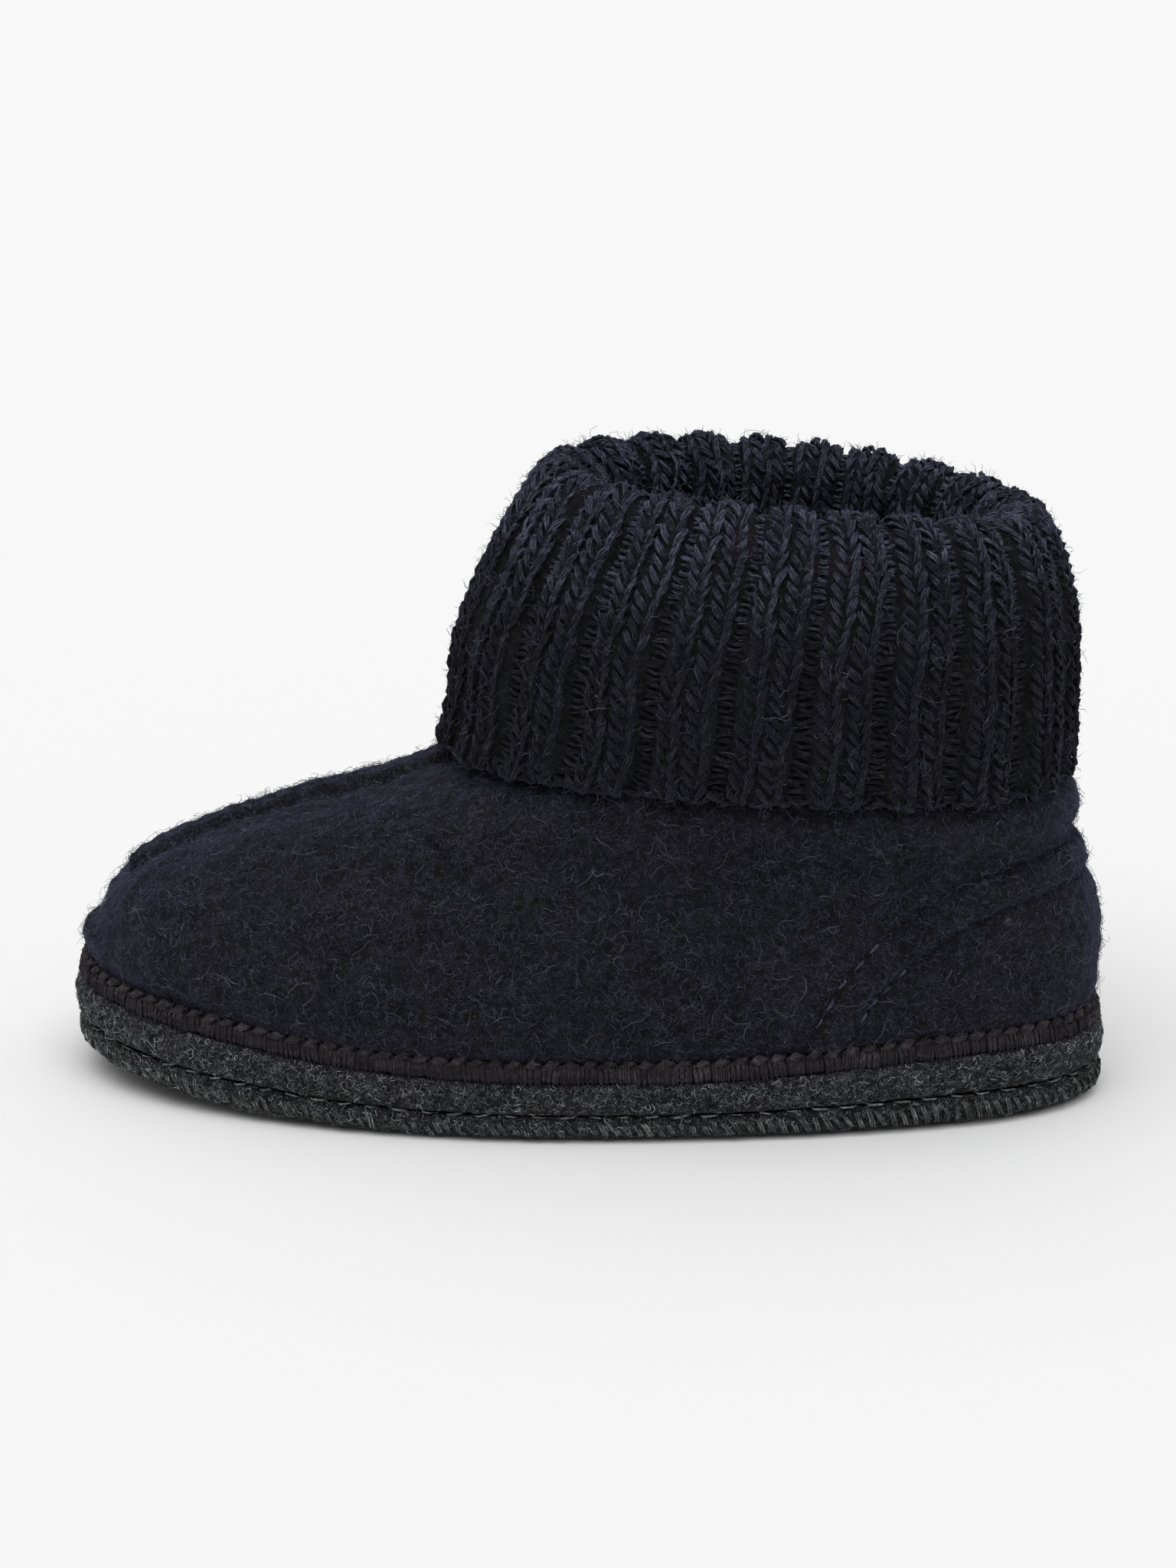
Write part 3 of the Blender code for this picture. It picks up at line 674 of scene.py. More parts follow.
def sew(name, slot, shapes, finish, rows, uneven, spread, seed):
    """A piece of stitches, one at each place, turned by its side and out and stretched by its size."""
    places, *ways = rows
    carrier = bpy.data.meshes.new("stitch points")
    carrier.from_pydata(to_model(places).tolist(), [], [])
    for title, values in zip(("side", "out", "size"), ways):
        layer = carrier.attributes.new(title, "FLOAT_VECTOR", "POINT")
        spread_out = np.broadcast_to(np.asarray(values, float), (len(places), 3))
        layer.data.foreach_set("vector", np.ascontiguousarray(spread_out, np.float32).ravel())
    made = run_tree(SEWING, carrier, {
        "Stitch A": template("stitch A", shapes[0]), "Stitch B": template("stitch B", shapes[-1]),
        "Uneven": uneven, "Spread": spread, "Seed": seed, "Finish": finish,
    })
    add_piece(name, made, None, slot)
    return made


def joined(rows):
    """Rows of places, sides, outs and sizes, each kind joined into one array."""
    return [np.concatenate(column) for column in zip(*rows)]


# %% Shapes of fibre
FIBRE_PATHS = [
    [(-0.3, 0, -0.10), (0.25, 0.10, 0.18), (0.95, -0.22, 0.26), (1.7, 0.05, 0.05)],
    [(-0.2, 0, -0.10), (0.30, 0.30, 0.20), (0.55, 0.95, 0.28), (0.10, 1.45, 0.12)],
    [(-0.6, -0.2, -0.08), (0.20, 0.18, 0.26), (1.1, -0.10, 0.12)],
    [(-0.2, 0, -0.10), (0.25, 0.06, 0.42), (0.75, 0.20, 0.80)],
]
STRAY_PATHS = [
    [(-2.4, -0.4, -0.1), (-1.4, 0.5, 0.35), (0.0, 0.85, 0.5), (1.4, 0.45, 0.4), (2.3, -0.5, 0.1)],
    [(-2.0, 0.0, -0.1), (-0.9, 0.25, 0.4), (0.4, -0.2, 0.6), (1.3, 0.5, 0.7), (1.2, 1.5, 0.5)],
    [(-2.6, 0.3, -0.1), (-1.2, -0.1, 0.3), (0.2, 0.2, 0.4), (1.6, -0.1, 0.35), (2.8, 0.4, 0.1)],
    [(-0.6, 0.0, -0.1), (0.0, 0.5, 0.6), (0.8, 0.3, 1.1), (0.9, -0.6, 1.2), (0.2, -0.9, 0.9)],
]
CURL_PATHS = [
    [(-0.7, -0.2, -0.15), (-0.35, 0.3, 0.12), (0.1, 0.35, 0.18), (0.4, 0.0, 0.14), (0.25, -0.5, -0.1)],
    [(-0.8, 0.0, -0.15), (-0.3, 0.22, 0.14), (0.3, -0.22, 0.16), (0.8, 0.1, -0.15)],
    [(-0.2, -0.7, -0.15), (0.15, -0.3, 0.12), (0.05, 0.15, 0.2), (-0.3, 0.3, 0.12), (-0.6, 0.05, -0.1)],
    [(-0.9, 0.1, -0.15), (-0.3, -0.05, 0.12), (0.3, 0.05, 0.12), (0.9, -0.15, -0.15)],
]
FIBRE_SIDES, FIBRE_REFERENCE = 3, (0.3, 0.9, 0.2)
# Kinds of fibre: thickness, shortest and longest scale, and how far they lean
FELT_HAIRS, FELT_STRAYS = (0.075, 0.6, 1.5, 0.5), (0.065, 0.6, 1.4, 0.3)
KNIT_HAIRS, KNIT_STRAYS = (0.080, 0.7, 1.6, 0.9), (0.065, 0.6, 1.4, 0.6)
SOLE_CURLS, WELT_HAIRS = (0.095, 0.6, 1.3, 0.35), (0.065, 0.5, 1.1, 0.6)


def fuzz(name, slot, mesh, finish, paths, kind, density, seed, cover=1.0):
    """A piece of fibres over a mesh, so many to the square millimetre where its cover is 1."""
    thickness, shortest, longest, lean = kind
    inputs = {"Density": density * 1e6, "Lean": lean, "Shortest": shortest, "Longest": longest}
    inputs.update({"Seed": seed, "Finish": finish})
    for letter, path in zip("ABCD", paths):
        taper = np.linspace(thickness / 2, thickness / 2.5, len(path) - 2)
        hair = strand(path, taper, FIBRE_SIDES, FIBRE_REFERENCE)
        inputs["Fibre " + letter] = template("fibre " + letter, [hair])
    carrier = mesh.copy()
    set_values(carrier, "fuzz", np.broadcast_to(np.ravel(cover), len(mesh.vertices)))
    add_piece(name, run_tree(FUZZ, carrier, inputs), None, slot)


print("fibre shapes:", len(FIBRE_PATHS), "hairs,", len(STRAY_PATHS), "strays,", len(CURL_PATHS), "curls")

# %% [markdown]
# ## The boiled-wool upper
#
# The real upper is one thick felt with two lapped seams in it: along the vamp and round the heel. Cloth
# simulation could make it sag, but boiled wool is stiff and keeps the form of its last. So one closed
# shell is made on the ring surface, and its points are moved along their directions: the seams rise as
# bands with stitches pulling their edges in, creases are pressed in where the foot bends, and
# noise gives the dents and the pebbly nap.

# %% Seam paths on the upper
TOP_LEVEL = len(UPPER_RINGS) - 1.0
VAMP_STARTS, VAMP_ENDS = 4.0, 7.7
HEEL_POINTS, VAMP_POINTS = 900, 600
SEAM_REACH = 9.0


def level_at(turn, height):
    """The level at which each turn reaches a height."""
    low, high = np.zeros_like(turn), np.full_like(turn, TOP_LEVEL)
    for _ in range(40):
        middle = (low + high) / 2
        below = upper_at(turn, middle)[..., 2] < height
        low, high = np.where(below, middle, low), np.where(below, high, middle)
    return low


def seam_path(turn, level):
    """A seam's middle line: its points, the way out of the felt, the way across it, and its run."""
    points = upper_at(turn, level)
    out = outward(upper_at, turn, level)
    ahead = unit(np.gradient(points, axis=0))
    return points, out, unit(np.cross(out, ahead)), run_along(points)


def heel_stop(angle):
    row = np.interp(np.abs(angle), HEEL_SEAM[:, 0], np.arange(len(HEEL_SEAM)))
    turn = math.pi + np.radians(angle)
    return turn, level_at(turn, rows_at(HEEL_SEAM, row)[1])


last_angle = HEEL_SEAM[-1, 0]
heel_angles = even_turns(lambda angle: upper_at(*heel_stop(angle)), HEEL_POINTS, -last_angle, last_angle)
heel_line = seam_path(*heel_stop(heel_angles))
vamp_line = seam_path(np.zeros(VAMP_POINTS), np.linspace(VAMP_STARTS, VAMP_ENDS, VAMP_POINTS))
print("heel seam %.0f mm long, vamp seam %.0f mm" % (heel_line[3][-1], vamp_line[3][-1]))


def seam_distance(points, line):
    """For each point: how far aside of the seam it is, with a sign, and where along the seam."""
    tree = kdtree.KDTree(len(line[0]))
    for number, place in enumerate(line[0]):
        tree.insert(place, number)
    tree.balance()
    found = [tree.find(place) for place in points.reshape(-1, 3)]
    nearest = np.array([hit[1] for hit in found])
    away = np.array([hit[2] for hit in found])
    side = np.einsum("ij,ij->i", points.reshape(-1, 3) - line[0][nearest], line[2][nearest])
    beyond = np.where(side < 0, -SEAM_REACH, SEAM_REACH)
    aside = np.where(away > SEAM_REACH, beyond, np.copysign(away, side))
    shape = points.shape[:-1]
    return aside.reshape(shape), line[3][nearest].reshape(shape)


# %% The felt's relief
HEEL_PITCH, VAMP_PITCH, WELT_PITCH = 3.9, 3.9, 3.28
# Creases in the frame's millimetres: start, end, depth at each, and half width
CREASES = [
    ((28.2, 22.3, 52.7), (25.6, 25.8, 50.6), 0.2, 1.6, 1.0),
    ((25.6, 25.8, 50.6), (22.2, 28.7, 48.1), 1.6, 1.2, 1.0),
    ((22.2, 28.7, 48.1), (18.8, 31.2, 44.6), 1.2, 0.0, 1.3),
    ((24.2, -25.6, 52.7), (16.0, -31.2, 46.6), 0.8, 0.0, 1.6),
]
# Layers of noise in the felt: height, size and seed. The tufts lie on the toe.
NAP = [(0.50, 26.0, 1), (0.25, 7.0, 2), (0.36, 2.4, 3), (0.22, 1.3, 4)]
TUFTS = [(0.45, 4.6, 16), (0.35, 2.6, 17)]


def hill(value, middle, width):
    return np.exp(-(((value - middle) / width) ** 2))


def noise_at(points, size, seed):
    offset = Vector((seed * 17.3, seed * 5.1, seed * 9.7))
    flat = (points.reshape(-1, 3) / size).tolist()
    return np.array([noise.noise(Vector(place) + offset) for place in flat]).reshape(points.shape[:-1])


def layered_noise(points, layers):
    return sum(height * noise_at(points, size, seed) for height, size, seed in layers)


print("felt:", len(CREASES), "lengths of crease,", len(NAP) + len(TUFTS), "layers of noise")


# %% Relief of the seams and creases
def stitch_row(from_end):
    """How far aside of the heel seam's middle its stitches lie: a little less round the back."""
    return 3.4 - 0.45 * smoothstep(35.0, 60.0, from_end)


def heel_seam_relief(points):
    """A raised band between two rows of stitches that pull the felt in, and painted shade in their grooves
    where they press it.
    """
    aside, run = seam_distance(points, heel_line)
    from_end = np.minimum(run, heel_line[3][-1] - run)
    height = 0.75 + 0.7 * smoothstep(15.0, 55.0, from_end)
    band = 1 - smoothstep(1.5, 3.5, np.abs(aside))
    pull = 0.62 + 0.38 * np.cos(math.tau * run / HEEL_PITCH)
    depth = 0.50 + 0.25 * smoothstep(30.0, 60.0, from_end)
    groove = pull * hill(np.abs(aside), stitch_row(from_end), 0.60)
    return (height * band - depth * groove) * smoothstep(0.0, 4.0, from_end + 2.0), 0.7 * groove


def vamp_seam_relief(points):
    """A soft roll with stitch pits along its middle, uneven lips, a groove at its foot, and painted shade in
    the pits and the groove.
    """
    aside, run = seam_distance(points, vamp_line)
    start = smoothstep(0.0, 3.0, run)
    band = 1 - smoothstep(1.5, 3.4, np.abs(aside))
    pits = (0.5 + 0.5 * np.cos(math.tau * run / VAMP_PITCH)) ** 2 * hill(aside, 0.2, 0.75)
    lip = hill(np.abs(aside), 2.35, 0.70) * (0.5 + 1.1 * noise_at(points, 2.8, 15))
    foot = hill(np.abs(aside), 3.9, 0.80)
    roll = 1.35 * band + 0.55 * lip - 1.05 * pits + 0.45 * band * noise_at(points, 3.2, 14) - 0.55 * foot
    return start * roll, 0.45 * start * np.maximum(pits, foot)


def segment_distance(points, start, end):
    """How far points are from a segment, how far above it, and their share along it."""
    start, end = np.array(start) + SHIFT, np.array(end) + SHIFT
    span = end - start
    share = np.clip(((points - start) @ span) / (span @ span), 0, 1)
    offset = points - (start + share[..., None] * span)
    return np.linalg.norm(offset, axis=-1), offset[..., 2], share


def crease_relief(points):
    """Soft troughs along the creases, each with a low ridge under it, and painted shade in the troughs."""
    trough, ridge = np.zeros(points.shape[:-1]), np.zeros(points.shape[:-1])
    for first, second, depth_first, depth_second, width in CREASES:
        away, above, share = segment_distance(points, first, second)
        depth = depth_first + (depth_second - depth_first) * share
        trough = np.maximum(trough, depth * hill(away, 0.0, width))
        ridge = np.maximum(ridge, 0.35 * depth * hill(away, 2.3 * width, width) * (above < 0))
    return ridge - trough, 0.35 * trough


# %% The felt shell
def felt_relief(points, level):
    """How far each point of the felt stands out of the ring surface, and the painted shade where it is
    pressed in.
    """
    along = points[..., 0]
    parts = [part(points) for part in (heel_seam_relief, vamp_seam_relief, crease_relief)]
    relief = sum(part[0] for part in parts) + layered_noise(points, NAP)
    pressed_shade = np.max([part[1] for part in parts], axis=0)
    tufted = smoothstep(95.0, 145.0, along) * smoothstep(2.6, 4.0, level)
    relief = relief + tufted * layered_noise(points, TUFTS)
    over_welt = 1.1 * smoothstep(0.7, 1.1, level) * smoothstep(2.3, 1.5, level)
    over_welt = over_welt * (1 - 0.8 * smoothstep(145.0, 178.0, along))
    over_welt = over_welt - 1.2 * smoothstep(160.0, 182.0, along) * hill(level, 2.6, 0.7)
    under_hem = 1.7 * hill(level, 7.55, 0.38)
    shown = smoothstep(0.6, 1.3, level) * smoothstep(8.2, 7.6, level)
    return relief * shown + over_welt + under_hem, pressed_shade * shown


FELT_COLUMNS, FELT_ROWS, INNER_ROWS = 460, 106, 14
felt_turns = even_turns(lambda turn: upper_at(turn, 4.0), FELT_COLUMNS)[:-1]
fine_levels = np.linspace(0.0, TOP_LEVEL, 361)
mean_run = np.mean([run_along(upper_at(turn, fine_levels)) for turn in felt_turns[::16]], axis=0)
weight = np.where((fine_levels > 1.0) & (fine_levels < 7.8), 1.0, 0.25)
weighted = np.concatenate(([0.0], np.cumsum(np.diff(mean_run) * weight[1:])))
felt_levels = np.interp(np.linspace(0, weighted[-1], FELT_ROWS), weighted, fine_levels)

grid_turn, grid_level = np.meshgrid(felt_turns, felt_levels)
felt_points = upper_at(grid_turn, grid_level)
relief, pressed_shade = felt_relief(felt_points, grid_level)
felt_face = felt_points + outward(upper_at, grid_turn, grid_level) * relief[..., None]
back_turn, back_level = np.meshgrid(felt_turns, np.linspace(TOP_LEVEL, 0.0, INNER_ROWS))
back_out = outward(upper_at, back_turn, back_level)
lining_face = upper_at(back_turn, back_level) - FELT_WALL * back_out
lining_face = lining_face + 0.15 * noise_at(lining_face, 3.0, 5)[..., None] * back_out
shell = np.concatenate((felt_face, lining_face))
felt_mesh = tube_mesh(shell)
# The felt keeps painted shade for its creases, stitch grooves and pits.
set_values(felt_mesh, "pressed_shade", np.concatenate((pressed_shade, 0 * back_level)))
add_piece("felt_upper", felt_mesh, navy_felt, "navy_felt", "upper", "vamp_seam", "heel_seam")

# %% [markdown]
# ## Fuzz on the felt
#
# Boiled wool is a mat of fibres, and single ones stand out of it: they catch the light and soften the
# outline. Blender's hair curves could draw them, but an exported model needs faces. So each fibre is a
# three-sided strand of up to a dozen triangles, and the fuzz tree scatters four shapes over the felt.

# %% Felt fuzz
cover = np.zeros(shell.shape[:2])
# Fewer fibres grow where the felt is pressed in and painted in shade.
cover[:FELT_ROWS] = (grid_level > 1.1) * (grid_level < 7.85) * (1 - 0.9 * np.clip(pressed_shade, 0, 1))
outer_half = shell[..., 1] > axis_across(shell[..., 0])
for name, half, density, seed in (
    ("felt_fuzz_outer", outer_half, 1.35, 11),
    ("felt_fuzz_inner", ~outer_half, 0.75, 12),
):
    fuzz(name, "navy_felt", felt_mesh, navy_fibre, FIBRE_PATHS, FELT_HAIRS, density, seed, cover * half)
fuzz("felt_stray_hairs", "navy_felt", felt_mesh, stray_fibre, STRAY_PATHS, FELT_STRAYS, 0.075, 13, cover)

# %% [markdown]
# ## The rib-knit cuff
#
# The cuff is a knitted strip in two-by-two rib: two columns of knit stitches stand up, two columns of
# purl stitches lie back, and the strip is folded over and hangs down outside. A rippled sheet with a
# bump map would look like plastic at the fold. Here the sheet is only the ground, and every knit stitch
# is a V of two strands of yarn whose point lies towards the hem, with the purl bars in the troughs.

# %% The ground sheet of the cuff
RIBS, KNIT_ROWS, RIB_RISE = 21, 44, 1.05
FIRST_RIB_TURN = 0.1156
WALE_HALF, ROW_HEIGHT = 2.35, 2.55
FOLD_STATION, WIDEST_STATION, HEM_STATION = 4.8, 9.0, 11.0
SHEET_STEPS, FRONT_ROWS = 10, 51
RIB_STEP, STATION_STEP, WALE_STEPS = 0.02, 0.01, 441
FACE = KNIT_WALL / 2
round_turn = FIRST_RIB_TURN + np.linspace(0.0, math.tau, FINE_STEPS)
round_run = run_along(cuff_at(round_turn, WIDEST_STATION))


def rib_turn(rib):
    """The turn of a place counted in ribs, from the middle of the first one."""
    share = np.mod(np.asarray(rib, float), RIBS) / RIBS
    return np.interp(share * round_run[-1], round_run, round_turn)


def rib_pitch(rib, station):
    """How wide a rib and its trough are at a place."""
    step = cuff_at(rib_turn(rib + RIB_STEP), station) - cuff_at(rib_turn(rib - RIB_STEP), station)
    return np.linalg.norm(step, axis=-1) / (2 * RIB_STEP)


def at_fold(station):
    """1 where the strip turns over, where the ribs crowd together, and 0 away from it."""
    return hill(station, FOLD_STATION, 1.8)


def rib_wave(rib, station):
    """1 on a rib, whose two wales keep their width, and -1 in the trough beside it."""
    rib = np.asarray(rib, float)
    pitch = rib_pitch(rib, station)
    aside = np.abs(rib - np.round(rib)) * pitch
    half = np.minimum(4.65, 0.39 * pitch) + 0.05 * pitch * at_fold(station)
    return 1 - 2 * smoothstep(half - 1.3, half + 1.0, aside)


def knit_face(rib, station, depth, ribbed=1.0):
    """Points of the knitting and their way out, at a depth from the middle of the strip."""
    turn = rib_turn(rib)
    out = -outward(cuff_at, turn, station)
    fullness = RIB_RISE * (1 - 0.25 * at_fold(station))
    rise = fullness * ribbed * rib_wave(rib, station) + depth - 0.5 * at_fold(station)
    return cuff_at(turn, station) + out * rise[..., None], out


ground_ribs = np.arange(RIBS * SHEET_STEPS) / SHEET_STEPS
front_stations = np.linspace(0.0, HEM_STATION, FRONT_ROWS)
rib_grid, station_grid = np.meshgrid(ground_ribs, front_stations)
front_sheet = knit_face(rib_grid, station_grid, FACE - 1.05 + 0.28 * rib_wave(rib_grid, station_grid))[0]
back_sheet = knit_face(*np.meshgrid(ground_ribs, front_stations[::-2]), -FACE)[0]
ground_yarn = felt_finish(
    "navy_knit_ground", (0.0022, 0.0022, 0.0027), (0.0076, 0.0074, 0.0088), (0.044, 0.043, 0.051),
    0.8, 0.06, NAVY_SHEEN, NAVY_CURLS)
sheet_mesh = tube_mesh(np.concatenate((front_sheet, back_sheet)))
add_piece("cuff_ground", sheet_mesh, ground_yarn, "navy_rib_knit", "cuff")

# %% The shape of a knit stitch
LEFT_LEG = np.array([
    (0.40, -1.9, -0.8), (-0.20, -0.95, 0.20), (-1.00, 0.25, 0.50), (-1.70, 1.35, 0.20), (-1.80, 2.3, -0.8),
])
RIGHT_LEG = np.array([
    (0.50, -2.1, -0.8), (1.00, -0.90, 0.25), (1.32, 0.50, 0.50), (1.62, 1.90, 0.20), (1.55, 3.0, -0.8),
])
LEG_PLIES, WHOLE_LEG = (0.31, 0.37, 0.31), (0.52, 0.62, 0.52)
WALE_LEAN = math.radians(16)


def wale_rows(rib, rows):
    """Stations at given rows from the hem, evenly spaced along the showing face, and a row's height."""
    fine = np.linspace(0.0, HEM_STATION, WALE_STEPS)
    run = run_along(knit_face(np.full(WALE_STEPS, rib), fine, FACE)[0])
    step = run[-1] / KNIT_ROWS
    return np.interp(run[-1] - step * rows, run, fine), step


def knit_frame(rib, station, depth, ribbed=1.0):
    """Places on the knitting with their side and out."""
    places, out = knit_face(rib, station, depth, ribbed)
    towards_seam = knit_face(rib, station - STATION_STEP, depth, ribbed)[0]
    towards_hem = knit_face(rib, station + STATION_STEP, depth, ribbed)[0]
    return places, unit(np.cross(unit(towards_seam - towards_hem), out)), out


def knit_stitch(left_size, right_size, start, bend, two_ply):
    """A V of two legs of yarn, whose ends bend back where it lies round the fold."""
    made = []
    for leg, size, turns in ((LEFT_LEG, left_size, 0.6), (RIGHT_LEG, right_size, 0.5)):
        path = leg * size
        path[:, 2] -= bend * path[:, 1] ** 2
        made += plied(path, LEG_PLIES, 4, turns, start) if two_ply else [strand(path, WHOLE_LEG, 4)]
        start += 0.7
    return made


# %% Sewing the knit stitches
rows, wales = np.arange(KNIT_ROWS), []
for rib in range(RIBS):
    stations, step = wale_rows(rib, rows + 0.5)
    pitch = rib_pitch(np.full(KNIT_ROWS, rib), stations)
    across = np.clip(pitch / 10.6, 0.82, 1.06)
    size = np.stack((across, np.full(KNIT_ROWS, step / ROW_HEIGHT), across), -1)
    for hand in (-1, 1):
        wander = 0.35 * np.sin(0.45 * rows + 2.1 * rib) + 0.2 * np.sin(1.3 * rows + 3.7 * rib + hand)
        wale = rib + (hand * np.minimum(WALE_HALF, 0.20 * pitch) + wander) / pitch
        at, side, out = knit_frame(wale, stations, FACE - 0.80)
        cosine, sine = math.cos(WALE_LEAN), hand * math.sin(WALE_LEAN)
        wales.append((at, side * cosine - out * sine, out * cosine + side * sine, size, stations))
*stitches, at_station = joined(wales)
knit_meshes = []
# Each part of the strip: its stations, how far the stitches bend there, if they are plied, and a seed
for name, first, last, bend, two_ply, seed in (
    ("cuff_inside_stitches", -1.0, 2.4, 0.0, False, 21),
    ("cuff_fold_stitches", 2.4, 7.2, 0.09, True, 24),
    ("cuff_knit_stitches", 7.2, 12.0, 0.0, True, 25),
):
    here = (at_station > first) & (at_station <= last)
    even_v = knit_stitch((1, 1, 1), (1, 1, 1), 0.4, bend, two_ply)
    slack_v = knit_stitch((1.10, 0.94, 1.15), (0.90, 1.05, 0.95), 1.6, bend, two_ply)
    chosen = [column[here] for column in stitches]
    knit_meshes.append(sew(name, "navy_rib_knit", [even_v, slack_v], navy_yarn, chosen, 0.12, 0.09, seed))
print("a knit row is %.2f mm, a rib %.1f to %.1f mm wide" % (step, pitch.min(), pitch.max()))

# %% Purl bars and the hem
SMILE = [(-2.8, 0.45, -0.6), (-1.4, 0.05, 0.06), (0.0, -0.26, 0.22), (1.4, 0.05, 0.06), (2.8, 0.45, -0.6)]
FROWN = [(-2.8, -0.40, -0.6), (-1.3, 0.02, 0.08), (0.2, 0.28, 0.20), (1.5, 0.0, 0.05), (2.8, -0.55, -0.6)]
HEM_LOOP = [(-2.0, 0.7, -0.7), (-1.0, -0.02, 0.20), (0.0, -0.30, 0.40), (1.0, -0.02, 0.20), (2.0, 0.7, -0.7)]
BAR, HEM_PLIES, HEM_LOOPS = (0.36, 0.43, 0.36), (0.36, 0.42, 0.36), 7
PLAIN = (1.0, 1.0, 1.0)
bar_rows, troughs = np.arange(2 * KNIT_ROWS) / 2 + 0.25, []
for rib in range(RIBS):
    trough = np.full(len(bar_rows), rib + 0.5)
    stations = wale_rows(rib + 0.5, bar_rows)[0]
    across = np.clip(rib_pitch(trough, stations) / 12.4, 0.7, 1.1)
    size = np.stack((across, np.ones(len(across)), np.ones(len(across))), -1)
    troughs.append((*knit_frame(trough, stations, FACE - 0.95), size))
purl_bars = [[strand(path, BAR, 4)] for path in (SMILE, FROWN)]
purl_mesh = sew("cuff_purl_bars", "navy_rib_knit", purl_bars, purl_yarn, joined(troughs), 0.28, 0.24, 22)

hem_ribs = (np.arange(RIBS * HEM_LOOPS) + 0.5) / HEM_LOOPS
hem_stations = HEM_STATION - 0.06 + 0.08 * np.sin(2.4 * np.arange(len(hem_ribs)))
hem = (*knit_frame(hem_ribs, hem_stations, FACE - 0.9, 0.6), PLAIN)
hem_loops = [plied(HEM_LOOP, HEM_PLIES, 4, 0.6)]
hem_mesh = sew("cuff_hem", "navy_rib_knit", hem_loops, navy_yarn, hem, 0.42, 0.25, 23)

# %% Fuzz on the knitting
for name, mesh, density, seed in (
    ("cuff_inside_fuzz", knit_meshes[0], 0.05, 31),
    ("cuff_fold_fuzz", knit_meshes[1], 0.42, 32),
    ("cuff_fuzz", knit_meshes[2], 0.34, 33),
    ("cuff_bar_fuzz", purl_mesh, 0.08, 34),
    ("cuff_hem_fuzz", hem_mesh, 0.35, 35),
):
    fuzz(name, "navy_rib_knit", mesh, navy_fibre, FIBRE_PATHS, KNIT_HAIRS, density, seed)
for name, mesh, seed in (("cuff_fold_strays", knit_meshes[1], 36), ("cuff_strays", knit_meshes[2], 37)):
    fuzz(name, "navy_rib_knit", mesh, stray_fibre, STRAY_PATHS, KNIT_STRAYS, 0.020, seed)

# %% [markdown]
# ## The two felt layers of the sole
#
# The sole is two layers of grey melange felt, cut to the same outline, with a sewn groove between
# them. Its colour is a mix of dark and nearly white fibres. Each layer is a closed ring of profiles
# with ladders of faces across its top and its underside. The lower edge shows slanted ribs where the
# felt was trimmed and pressed, clearest at the heel.

# %% A layer of felt
SOLE_COLUMNS = 840
UP = np.array((0.0, 0.0, 1.0))
sole_turns = edge_turns(0.0, SOLE_COLUMNS)
sole_run = run_along(edge(sole_turns, 0.0)[0])


def sole_rise(along, share):
    """The height at a share of the sole's thickness, with its toe spring and its cupped ends."""
    return lift(along) + share * (SOLE_HEIGHT + cup(along))


def ladder(numbers, points, cells):
    """Faces across a mirrored ring, in strips of so many cells; returns new points and the faces."""
    half = len(numbers) // 2
    lines, extra, start = [], [], points.shape[0]
    for index in range(1, half):
        near, far = numbers[index], numbers[-index]
        shares = np.arange(1, cells)[:, None] / cells
        extra.append(points[near] + shares * (points[far] - points[near]))
        lines.append([near] + list(range(start, start + cells - 1)) + [far])
        start += cells - 1
    faces = []
    for end in ([numbers[0]] + lines[0][::-1], [numbers[half]] + lines[-1]):
        faces += [[end[0], end[k], end[k + 1]] for k in range(1, len(end) - 1)]
    for a, b in zip(lines, lines[1:]):
        faces += [[a[k], b[k], b[k + 1], a[k + 1]] for k in range(cells)]
    return np.concatenate((points, *extra)), faces


def sole_layer(rows, relief, under_cells, over_cells):
    """A closed layer from rows of out and share, its edge moved out by the relief, and its fuzz."""
    rings = []
    for out, share in rows:
        plan, sideways = edge(sole_turns, out)
        ring = plan + sole_rise(plan[:, 0], share)[:, None] * UP
        rings.append(ring + sideways * relief(ring, share)[:, None])
    rings = np.array(rings)
    numbers = np.arange(rings[..., 0].size).reshape(rings.shape[:2])
    points, faces = rings.reshape(-1, 3), grid_faces(numbers)
    for ring, cells, flip in ((numbers[0], under_cells, False), (numbers[-1], over_cells, True)):
        points, more = ladder(ring, points, cells)
        faces += [face[::-1] for face in more] if flip else more
    cover = np.zeros(len(points))
    cover[numbers[4:-2]] = 0.8 + 0.9 * smoothstep(105.0, 165.0, rings[4:-2, :, 0])
    return points, faces, cover


print("sole outline %.0f mm round" % edge_length(SOLE_OVERHANG))

# %% The two layers
RIB_SLANT, SOLE_RIB_PITCH = 0.75, 1.95
PROFILE_ROWS = 17
LOW_TOP = OUTSOLE_THICKNESS / SOLE_HEIGHT
MID_LOW = (OUTSOLE_THICKNESS + GAP) / SOLE_HEIGHT
MID_TALL = 1 - MID_LOW


def felt_edge(ring, seed):
    return layered_noise(ring, [(0.40, 2.4, seed), (0.30, 1.2, seed + 1), (0.20, 9.0, seed + 2)])


def lower_relief(ring, share):
    """Rough felt with slanted ribs, clearest at the heel, and none where it lies on the floor."""
    at_heel = 0.35 + 0.65 * smoothstep(75.0, 45.0, ring[:, 0])
    ribs = np.cos(math.tau * (sole_run + RIB_SLANT * ring[:, 2]) / SOLE_RIB_PITCH)
    ribbed = 0.26 * hill(share, 0.24, 0.13) * at_heel * ribs
    return smoothstep(0.0, 0.06, share) * (felt_edge(ring, 6) + ribbed)


def upper_relief(ring, share):
    return felt_edge(ring, 10) * smoothstep(1.0, 0.9, share)


